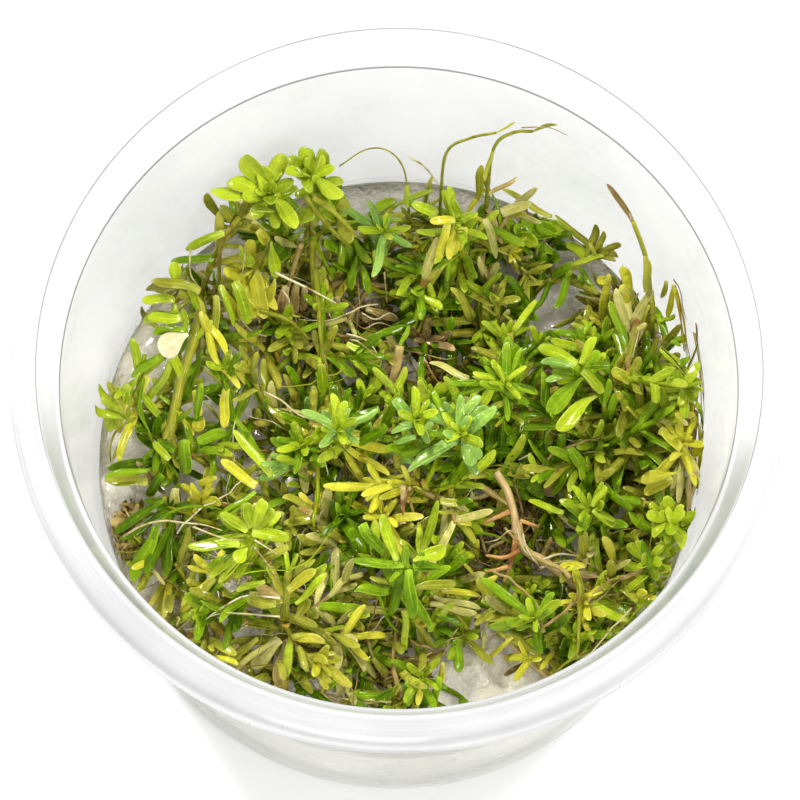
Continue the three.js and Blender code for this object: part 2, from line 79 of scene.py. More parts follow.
# The shoots, as the frame has them. Stem points are (x, y, height over the gel). A leaf is (place
# along the stem, direction in degrees from +X, length, rise in degrees), then its tissue where
# that isn't the shoot's own. A clump is (x, y, height, half width, half depth, half height).
# tone is the tissue of the leaves, thick the stem's diameter, broad a leaf's width as a share of its
# length, widest its most width, spoon a narrow stalk end. A bare stem has no pairs of leaves of its
# own, a sparse one has few. bush is the number of side shoots, top their height, litter the number
# of fallen strips round the foot. Places and lengths come from readings by eye in the photo, most of
# them turned into millimetres by a scratch script.
SHOOTS = [
    dict(name="crown_back_left", broad=0.48, widest=2.8, spoon=True, tone="lime", thick=1.1,
         stem=[(-14, 27, -2), (-16, 29, 11), (-18.5, 31, 20)],
         leaves=[(1, 185, 8, 5), (1, 160, 6, 10), (1, 120, 6.5, 20), (1, 80, 6, 15), (1, 315, 6.2, 0),
                 (0.97, 105, 4.7, 35), (0.97, 140, 3, 45), (0.95, 230, 4, 5), (0.93, 275, 4, 0),
                 (0.92, 35, 4, 10)]),
    dict(name="crown_back_left_second", broad=0.45, widest=2.2, spoon=True, tone="lime", thick=1,
         stem=[(-7, 29, -2), (-9, 31, 11), (-13, 33.3, 22)],
         leaves=[(1, 105, 4, 20), (0.97, 65, 3.6, 20), (0.96, 25, 3.5, 15), (0.95, 355, 4.1, 5),
                 (1, 320, 5.6, 0), (0.92, 170, 3, 20), (0.86, 200, 3.5, 5), (0.6, 300, 5, 5, "olive")]),
    dict(name="trailing_stem_left", tone="olive", thick=1, bush=3, litter=8,
         stem=[(-28, 20.5, -2), (-28, 22, 4), (-26, 25, 12), (-23, 28, 16)],
         leaves=[(0.7, 195, 6, 0, "green"), (1, 60, 4, 30), (1, 110, 4, 40, "green"), (0.45, 330, 4, 10),
                 (0.3, 210, 4, 10)]),
    dict(name="hanging_leaves_back_left", broad=0.32, widest=2, tone="yellow", thick=1,
         clump=(-16.5, 20.5, 1.9, 2, 2.4, 1.4), clump_tissue="tan",
         stem=[(-17.5, 19.5, -2), (-19.5, 21.5, 5), (-21, 24, 10)],
         leaves=[(1, 260, 7.3, -10), (1, 290, 7.4, -10), (0.9, 300, 6.3, -5), (0.9, 205, 4.1, 10, "lime"),
                 (0.9, 65, 3, 20, "lime"), (0.5, 320, 10, 0, "olive")]),
    dict(name="thick_stem_left", stem_tissue="olive", broad=0.22, widest=1.3, tone="lime", thick=1.5,
         sparse=True, bush=5, litter=10,
         stem=[(-32, -4, -2), (-32, -2.5, 4), (-30, 8, 8), (-27.5, 17, 12), (-30.5, 18.5, 14)],
         leaves=[(0.88, 305, 7.3, -10, "yellow"), (0.86, 290, 8, -10, "yellow"), (0.2, 195, 8, 5, "deep"),
                 (0.2, 210, 8.8, 0, "olive"), (0.2, 255, 5.1, 0, "deep"), (0.22, 75, 3.3, 10, "green"),
                 (0.2, 305, 3.5, 5, "green"), (0.35, 290, 5.5, 0, "olive"), (0.2, 145, 5.5, 10, "deep"),
                 (0.45, 300, 5, -5, "yellow")]),
    dict(name="wall_bunch_left", tone="lime", thick=0.9, sparse=True, bush=5, litter=10,
         stem=[(-34.5, 1, -2), (-36, 5, 6), (-35, 10.5, 11)],
         leaves=[(0.6, 255, 9, -10, "yellow"), (0.8, 220, 4.7, 5), (0.7, 310, 5, 0)]),
    dict(name="blades_lower_left", tone="deep", thick=1, bush=3, litter=9,
         stem=[(-29.5, -13, -2), (-30.5, -12, 3), (-31, -10, 6)],
         leaves=[(1, 220, 7.9, 0), (0.7, 245, 8, 0), (0.6, 265, 7.3, 5), (0.5, 280, 5.2, 5), (1, 60, 4, 20),
                 (0.8, 170, 4, 10, "olive"), (0.3, 330, 5, 0, "olive")]),
    dict(name="small_crown_left", tone="yellow", thick=0.9, bush=4, litter=9,
         stem=[(-24.5, -12, -2), (-26, -10, 3), (-26.5, -8.5, 6)],
         leaves=[(1, 130, 2.8, 20), (1, 40, 2.4, 20), (1, 320, 2.3, 10), (1, 235, 2.4, 10),
                 (0.8, 175, 3.6, 10, "cream"), (0.5, 190, 5, 0, "cream"), (0.6, 10, 4, 10, "lime")]),
    dict(name="root_clump_left", tone="tan", thick=0.8, clump=(-36.5, -12, 1.8, 1.7, 3.2, 1.3),
         clump_tissue="tan", bush=0,
         stem=[(-35, -13, -2), (-36, -12.5, 0.8), (-36.5, -11, 2)],
         leaves=[(1, 60, 3, 20, "olive")]),
    dict(name="crown_lower_left", broad=0.27, tone="lime", thick=1.2,
         stem=[(-18, -19, -2), (-18.5, -17.5, 7), (-19, -15.5, 14)],
         leaves=[(1, 195, 8.7, 5), (1, 355, 5, 10), (1, 80, 5, 20), (0.97, 105, 4.8, 20), (0.95, 45, 5, 10),
                 (0.97, 155, 5.2, 10), (0.9, 225, 7.9, 0), (0.92, 255, 5.8, 0), (0.9, 240, 7.5, 0),
                 (1, 245, 4, 10), (0.75, 200, 7, 0, "green"), (0.6, 320, 6, 0, "green"),
                 (0.5, 30, 5, 5, "olive")]),
    dict(name="spears_lower_left", tone="yellow", thick=1,
         stem=[(-26.5, -23.5, -2), (-25.5, -21, 3), (-24.2, -19, 6)],
         leaves=[(1, 230, 6.4, 0), (0.6, 220, 4.7, 0), (1, 170, 4, 15), (0.8, 330, 4, 10, "lime"),
                 (0.5, 260, 5, -5, "lime")]),
    dict(name="olive_stem_front_left", tone="olive", thick=1.3, sparse=True,
         stem=[(-14.5, -28.5, -2), (-14.5, -25.5, 7), (-14, -21, 15)],
         leaves=[(0.8, 35, 6.5, 5, "lime"), (0.9, 45, 4.8, 15), (0.6, 340, 4.8, 0),
                 (0.7, 160, 5.2, 5, "pale"), (0.75, 185, 4.5, 0), (1, 95, 2.9, 30, "lime"),
                 (1, 55, 3, 30, "lime"), (0.3, 215, 4.7, 0, "brown"), (0.3, 270, 4.9, 0, "dry"),
                 (0.3, 345, 5.3, 0), (0.25, 335, 8.1, 0, "brown"), (0.3, 190, 8.1, 0), (0.35, 170, 8, 0),
                 (0.3, 20, 6, 0)]),
    dict(name="pale_leaves_front", tone="pale", thick=1,
         stem=[(-7, -27, -2), (-7, -26.5, 3), (-7.4, -26, 6)],
         leaves=[(1, 275, 5.9, 0), (0.6, 285, 8, 0), (1, 310, 7.1, -5), (0.7, 0, 3, 5, "yellow"),
                 (0.8, 150, 3, 10)]),
    dict(name="green_leaves_front", tone="green", thick=1, clump=(1.6, -31.2, 1.5, 2.8, 1.6, 1.2),
         clump_tissue="brown",
         stem=[(3.5, -31, -2), (4, -31.5, 2), (4.2, -32, 4)],
         leaves=[(1, 290, 5, 0), (1, 215, 7, 0, "deep"), (0.8, 330, 4, 10), (1, 270, 4, 0, "yellow"),
                 (0.9, 250, 4.5, 0)]),
    dict(name="gel_sprig_front", broad=0.26, tone="green", thick=0.9, bush=0, litter=3,
         stem=[(10, -26.5, -2), (9.7, -26, 0.5), (9.5, -25.7, 2.5)],
         leaves=[(1, 205, 4.4, 10), (1, 115, 3.4, 20), (1, 20, 2.8, 20), (0.9, 320, 6, 10, "olive")]),
    dict(name="crown_front_centre", broad=0.25, tone="green", thick=1.3, sparse=True,
         stem=[(2.8, -27, -2), (2.5, -23, 8), (1.6, -19, 15)],
         leaves=[(0.97, 220, 3.3, 10), (0.8, 120, 4, 20), (0.7, 300, 6, 5)]),
    dict(name="blades_front_centre", tone="deep", thick=1, bush=8,
         stem=[(-8, -14, -2), (-7.5, -12, 4), (-7, -10.5, 8)],
         leaves=[(1, 305, 7.4, 0), (0.8, 297, 5.6, 0), (0.9, 315, 5.5, 0), (1, 235, 4.8, 5),
                 (0.9, 335, 6, 10)]),
    dict(name="curled_leaves_centre", tone="yellow", thick=0.9,
         stem=[(-0.5, -14, -2), (-1, -12, 4), (-1.5, -10.5, 8)],
         leaves=[(1, 295, 7, 0), (0.9, 270, 3.7, 0, "green"), (0.8, 350, 4, 10, "dry"),
                 (0.7, 130, 3.7, 20, "dry")]),
    dict(name="crown_centre", broad=0.32, tone="blue", thick=1.2,
         stem=[(-7.5, -1.5, -2), (-7.5, -0.7, 8), (-7.9, -0.2, 14)],
         leaves=[(1, 155, 5.7, 10), (1, 20, 5.9, 10), (1, 100, 4.8, 20, "lime"), (1, 75, 3.9, 30, "lime"),
                 (0.95, 225, 3.8, 5), (0.95, 330, 3.3, 5), (0.7, 320, 8, -5, "yellow"),
                 (0.65, 300, 7.2, -5, "yellow"), (0.75, 350, 7.3, -5, "yellow")]),
    dict(name="small_crown_centre", broad=0.34, tone="green", thick=0.9,
         stem=[(-13, -2.5, -2), (-13, -1.5, 4), (-13, -1, 8)],
         leaves=[(1, 130, 2.8, 20), (1, 195, 2.4, 10), (1, 260, 4.2, 0), (1, 335, 2.8, 10),
                 (1, 170, 3.8, 10), (0.7, 275, 5.8, 0, "pale"), (0.6, 225, 4, 0, "yellow")]),
    dict(name="green_stem_centre", tone="green", thick=1.1, bush=3,
         stem=[(-11, 9, -2), (-10.8, 13, 5), (-10.8, 18.5, 9)],
         leaves=[(0.6, 275, 4.7, 5, "olive"), (0.7, 345, 8, 0, "olive"), (0.6, 330, 6, 0), (1, 95, 4, 20),
                 (0.9, 210, 4, 10)]),
    dict(name="yellow_leaves_centre", tone="yellow", thick=1,
         stem=[(5, -8.5, -2), (4.5, -7, 5), (2, -6.8, 9), (-2, -7.2, 10)],
         leaves=[(1, 185, 8, 0), (0.7, 172, 6.5, 10), (0.4, 330, 4, 10, "green")]),
    dict(name="crown_blue_left", broad=0.3, widest=1.4, tone="blue", thick=1.1,
         stem=[(3, -2.5, -2), (2.5, -1, 9), (2.6, 0.7, 16)],
         leaves=[(1, 60, 3.2, 20, "lime"), (0.95, 305, 3.6, 10)]),
    dict(name="crown_blue_centre", broad=0.3, widest=1.4, tone="blue", thick=1.2,
         stem=[(9, -3.5, -2), (9, -2.5, 9), (8.5, -1.5, 17)],
         leaves=[(1, 100, 5.4, 30), (0.9, 210, 8.6, 0), (1, 70, 2.9, 45), (0.4, 65, 4.8, 10, "dry")]),
    dict(name="star_crown", broad=0.18, widest=1.1, tone="green", thick=1.1,
         stem=[(16, 4, -2), (15, 4.8, 9), (14.4, 5.9, 17)],
         leaves=[(1, 90, 5.7, 15), (1, 60, 5.3, 15), (0.95, 345, 4.2, 5), (0.93, 270, 4.7, 0),
                 (0.95, 150, 4, 20)]),
    dict(name="crown_right", broad=0.28, tone="green", thick=1.2, sparse=True,
         stem=[(25.5, 8.5, -2), (24.7, 8.3, 10), (24, 8, 18)],
         leaves=[(0.85, 165, 4.1, 0), (0.7, 60, 5, 10)]),
    dict(name="glossy_leaves_right", broad=0.28, widest=1.9, tone="green", thick=1, sparse=True,
         stem=[(29.5, 4, -2), (28.7, 4.2, 7), (28, 4.5, 12)],
         leaves=[(0.6, 245, 6, 0), (1, 75, 4, 20), (0.5, 300, 4, 0)]),
    dict(name="dark_blades_right", tone="deep", thick=0.9, bush=9, litter=34,
         stem=[(19, -4, -2), (18.3, -1.5, 3), (17.5, 0.5, 6)],
         leaves=[(1, 265, 6.5, 5), (0.8, 275, 6.2, 5), (0.5, 345, 4.5, 10, "olive"), (0.6, 230, 4, 0)]),
    dict(name="hairy_stem", bare=True, stem_tissue="dry", tone="tan", thick=1.3, bush=0, litter=16,
         clump=(16.5, -10.5, 1.7, 4.5, 5, 1.6), clump_tissue="brown",
         stem=[(28.5, -20.5, -2), (26.5, -19.5, 3), (25, -18.5, 4.5), (21, -16, 5.5), (17.5, -14, 6.5),
               (16, -9, 8), (15, -6.5, 9), (13.5, -4.5, 10)],
         leaves=[(0.35, 0, 6, 0, "dry"), (0.5, 75, 3.5, 10, "brown")]),
    dict(name="small_crown_right", broad=0.26, tone="lime", thick=1,
         stem=[(28.5, -12, -2), (27.3, -10.5, 6), (26.6, -9.7, 11)],
         leaves=[(1, 65, 4, 15), (1, 320, 4, 10), (1, 175, 3.4, 10), (1, 255, 3.5, 5), (1, 110, 2.5, 40),
                 (0.7, 350, 4.4, 0, "deep"), (0.5, 265, 7, 0), (0.45, 300, 3, 0)]),
    dict(name="yellow_pods_right", tone="yellow", thick=1,
         stem=[(24.5, -22.5, -2), (25, -21.5, 3), (25.5, -21, 6)],
         leaves=[(1, 330, 7, 0, "lime"), (0.9, 190, 4, 10), (1, 100, 3, 20, "lime"), (0.5, 0, 4.5, 0)]),
    dict(name="crown_front_right", broad=0.26, tone="green", thick=1.2,
         stem=[(20.5, -26, -2), (20, -25.5, 5), (19, -25, 10)],
         leaves=[(1, 140, 9, 5), (1, 195, 6.2, 5), (1, 280, 5, 0, "deep"), (1, 50, 4.5, 15),
                 (0.95, 20, 3, 10), (0.95, 210, 3, 10)]),
    dict(name="pale_pair_front", tone="olive", thick=0.9, sparse=True, bush=4, litter=16,
         stem=[(6, -22, -2), (5.8, -21.5, 2), (5.5, -21, 5)],
         leaves=[(1, 95, 4, 20, "lime"), (0.6, 200, 4, 5, "lime")]),
    dict(name="tan_stem_front_right", bare=True, tone="tan", thick=1.1, bush=0,
         stem=[(23, -32, -2), (21.5, -30.5, 0.9), (18.5, -28.5, 2), (15.5, -26, 3.5)],
         leaves=[(1, 135, 3, 10, "olive"), (0.6, 220, 4, 0, "brown")]),
    dict(name="green_leaves_front_right", tone="green", thick=1,
         stem=[(25.5, -27, -2), (25.3, -26.5, 1.5), (25, -26, 4)],
         leaves=[(1, 10, 6.2, 5), (0.8, 30, 4.1, 5), (0.6, 330, 5, 5), (1, 130, 3, 20)]),
    dict(name="wall_crown_right", top=12, bush=8, broad=0.42, widest=2, spoon=True, tone="lime", thick=1.1,
         stem=[(36, -12.5, -2), (36.7, -12, 6), (37, -11.2, 12)],
         leaves=[(1, 295, 5.2, 5), (1, 225, 3.5, 5), (1, 120, 2.6, 20), (0.9, 345, 3.9, 30), (1, 40, 3, 40),
                 (0.95, 265, 3, 0)]),
    dict(name="leaf_pairs_lower_right", broad=0.42, widest=1.7, spoon=True, tone="lime", thick=1,
         stem=[(33.5, -18, -2), (34, -17, 4), (34.5, -16, 8)],
         leaves=[(1, 120, 3.4, 15), (1, 300, 3, 5), (0.9, 190, 3.3, 5), (0.6, 260, 4.6, 0),
                 (0.9, 150, 2.5, 10)]),
    dict(name="yellow_bunch_right", top=14, broad=0.2, widest=1.3, tone="yellow", thick=1, bush=9,
         stem=[(38.3, -5, -2), (38.8, -3, 6), (38.8, 0, 12)],
         leaves=[(1, 280, 6.5, -5), (0.9, 225, 6, -5), (0.8, 260, 6, -5, "pale"), (1, 100, 4, 20),
                 (0.95, 295, 6, -5, "pale"), (0.9, 270, 7.5, -5, "pale"), (0.7, 240, 6, -5, "tan")]),
    dict(name="whorl_right", top=14, broad=0.4, tone="lime", thick=1.1, bush=9,
         stem=[(31.5, 9, -2), (31.3, 8.5, 10), (33, 7.7, 15), (38.5, 6.2, 16.5)],
         leaves=[(1, 170, 2.9, 30), (1, 335, 3.1, 30), (1, 265, 2.9, 10), (1, 50, 2.9, 30),
                 (1, 120, 2.9, 30)]),
    dict(name="diagonal_stem_right", top=14, tone="green", thick=1.1, bush=8,
         stem=[(24, 0, -2), (27, 0.6, 4), (31.5, 1.7, 9), (36.5, 3.6, 12)],
         leaves=[(0.65, 265, 8.2, -5), (0.9, 320, 3.8, 5, "yellow"), (1, 5, 4.1, 20, "yellow"),
                 (0.4, 300, 4, 5), (0.5, 110, 4, 10)]),
    dict(name="mossy_stem_right", tone="olive", thick=1.8, sparse=True, bush=6,
         stem=[(35, 12, -2), (34.7, 14.5, 5), (34.7, 18.5, 11)],
         leaves=[(1, 100, 3.5, 30), (0.7, 230, 4, 10)]),
    dict(name="tall_leaf_right", bare=True, stem_tissue="olive", broad=0.12, tone="yellow", thick=0.8,
         stem=[(34, 18.5, -2), (34.5, 21, 8), (33.2, 24, 18), (31, 27, 24)],
         leaves=[(0.97, 125, 7, 20, "brown"), (0.4, 250, 7, -10), (0.5, 280, 6, -10, "olive")]),
    dict(name="brown_tip_right", bare=True, stem_tissue="olive", broad=0.12, tone="yellow", thick=0.5,
         bush=9,
         stem=[(37.5, 12, -2), (39.5, 11, 10), (40.3, 11.5, 19)],
         leaves=[(1, 110, 3.5, 50, "brown"), (0.5, 300, 3, 30)]),
    dict(name="brown_stem_back_right", tone="olive", thick=0.9, bush=3,
         stem=[(17.5, 23.5, -2), (19.5, 25, 3.5), (23, 26.5, 6), (27, 28, 9)],
         leaves=[(1, 25, 4.5, 20), (0.7, 255, 6.5, 0, "green"), (0.8, 305, 4, 5, "green"),
                 (0.45, 185, 4, 5), (0.9, 10, 3.7, 5)]),
    dict(name="wet_leaves_back_right", broad=0.38, widest=2.2, tone="green", thick=1,
         stem=[(17, 31.5, -2), (16.5, 32, 1), (16, 32.5, 4)],
         leaves=[(1, 15, 6.5, 5, "green"), (1, 335, 6.5, 0), (0.9, 280, 4, 5, "lime"),
                 (0.9, 355, 5, 10, "green")]),
    dict(name="bent_stem_back", bare=True, tone="olive", thick=0.5, broad=0.12,
         stem=[(5, 31, -2), (5, 33.5, 14), (5.5, 35.5, 26), (8.5, 36, 30), (12, 36.3, 31.5)],
         leaves=[(1, 20, 3, 20), (0.45, 230, 4, 10)]),
    dict(name="bent_stem_back_right", bare=True, tone="olive", thick=0.6, broad=0.14,
         stem=[(11.5, 33.5, -2), (11.5, 35.5, 12), (12, 37, 25), (14.5, 37.7, 28.5), (17, 37.7, 29)],
         leaves=[(0.75, 250, 4.5, -10), (0.3, 295, 6, 0, "tan"), (0.4, 30, 5, 10, "tan"), (1, 20, 4, 20)]),
    dict(name="root_arch_back", bare=True, stem_tissue="olive", tone="cream", thick=0.3, bush=0,
         stem=[(1, 33, -2), (0.5, 34, 12), (-0.3, 34.8, 22), (-2.5, 35.8, 25.5), (-5.5, 36, 25),
               (-9, 34.5, 22.5)],
         leaves=[(0.5, 270, 3.3, -10, "lime"), (0.4, 325, 5, 0, "green")]),
    dict(name="yellow_crown_back", tone="lime", thick=1.1,
         stem=[(9, 27.5, -2), (8, 28.3, 10), (7.3, 29, 17)],
         leaves=[(1, 105, 5, 10), (1, 255, 5.4, -10, "yellow"), (1, 180, 4, 10), (0.95, 30, 3.1, 10),
                 (0.4, 240, 8, 0, "lime"), (0.9, 345, 4.4, 0), (0.97, 90, 3, 30),
                 (0.95, 265, 4.6, -10, "yellow"), (0.9, 240, 6, -10)]),
    dict(name="crown_back", tone="blue", thick=1.1,
         stem=[(-3, 26, -2), (-3, 27.2, 8), (-2.5, 28.3, 14)],
         leaves=[(1, 155, 4.7, 10), (1, 260, 6.8, 0), (0.9, 140, 8.3, 5), (0.5, 335, 5.4, 5),
                 (1, 325, 4.3, 5), (0.4, 345, 4.8, 5, "lime"), (1, 80, 2.4, 30), (0.95, 265, 3.1, 0)]),
    dict(name="dark_blades_back", tone="deep", thick=1, bush=4,
         stem=[(5, 18.5, -2), (4.5, 19.5, 3), (4, 20, 6)],
         leaves=[(1, 10, 5.5, 5), (1, 215, 6.8, 0), (0.8, 60, 4, 20)]),
    dict(name="decayed_clump_back", tone="brown", thick=0.9, clump=(-4, 18.5, 1.9, 2.3, 1.8, 1.4),
         clump_tissue="brown", bush=0,
         stem=[(-4, 18.5, -2), (-4, 19, 0.8), (-4, 19.5, 2)],
         leaves=[(1, 95, 3, 20), (1, 190, 5, 10)]),
    dict(name="flat_stem_back", bare=True, tone="tan", thick=1.1,
         stem=[(-11.5, 23, -2), (-11.3, 23.3, 3), (-8, 23.6, 6.5), (-2, 23.4, 6)],
         leaves=[(0.5, 110, 3, 20, "olive")]),
    dict(name="striped_stem_centre", bare=True, tone="tan", thick=1.7,
         stem=[(-1, 6.5, -2), (-0.9, 8.5, 4), (0, 14, 8)],
         leaves=[(1, 60, 3, 20, "green"), (0.5, 230, 4, 10, "green")]),
    dict(name="root_clump_centre", tone="brown", thick=0.9, clump=(5, 11.6, 1.8, 1.8, 2.2, 1.4),
         clump_tissue="brown", bush=0,
         stem=[(5.3, 11, -2), (4.3, 13, 2), (3.3, 15.5, 6.5)],
         leaves=[(1, 265, 7, 5, "deep"), (1, 340, 4.8, 10, "dry")]),
    dict(name="olive_stem_back", tone="olive", thick=1.2,
         stem=[(15, 14, -2), (14, 17, 4), (13.2, 20.5, 8)],
         leaves=[(1, 75, 4, 20), (0.6, 205, 4, 10), (0.8, 330, 4, 10)]),
    dict(name="thin_stem_left", tone="olive", thick=0.9, bush=3, litter=9,
         stem=[(-15.5, 2, -2), (-18, 5, 5), (-20.5, 9.5, 8)],
         leaves=[(1, 110, 4, 20), (0.6, 320, 4, 10), (0.8, 215, 4, 5)]),
    dict(name="leaves_left", tone="green", thick=1, bush=2, litter=7,
         stem=[(-23, 2, -2), (-22.8, 3.5, 4), (-24.3, 9.5, 9)],
         leaves=[(0.5, 305, 8, 0), (1, 315, 4, 10, "yellow"), (0.4, 250, 4, 5), (1, 160, 3.5, 15, "olive"),
                 (0.8, 265, 6, 0, "yellow")]),
]

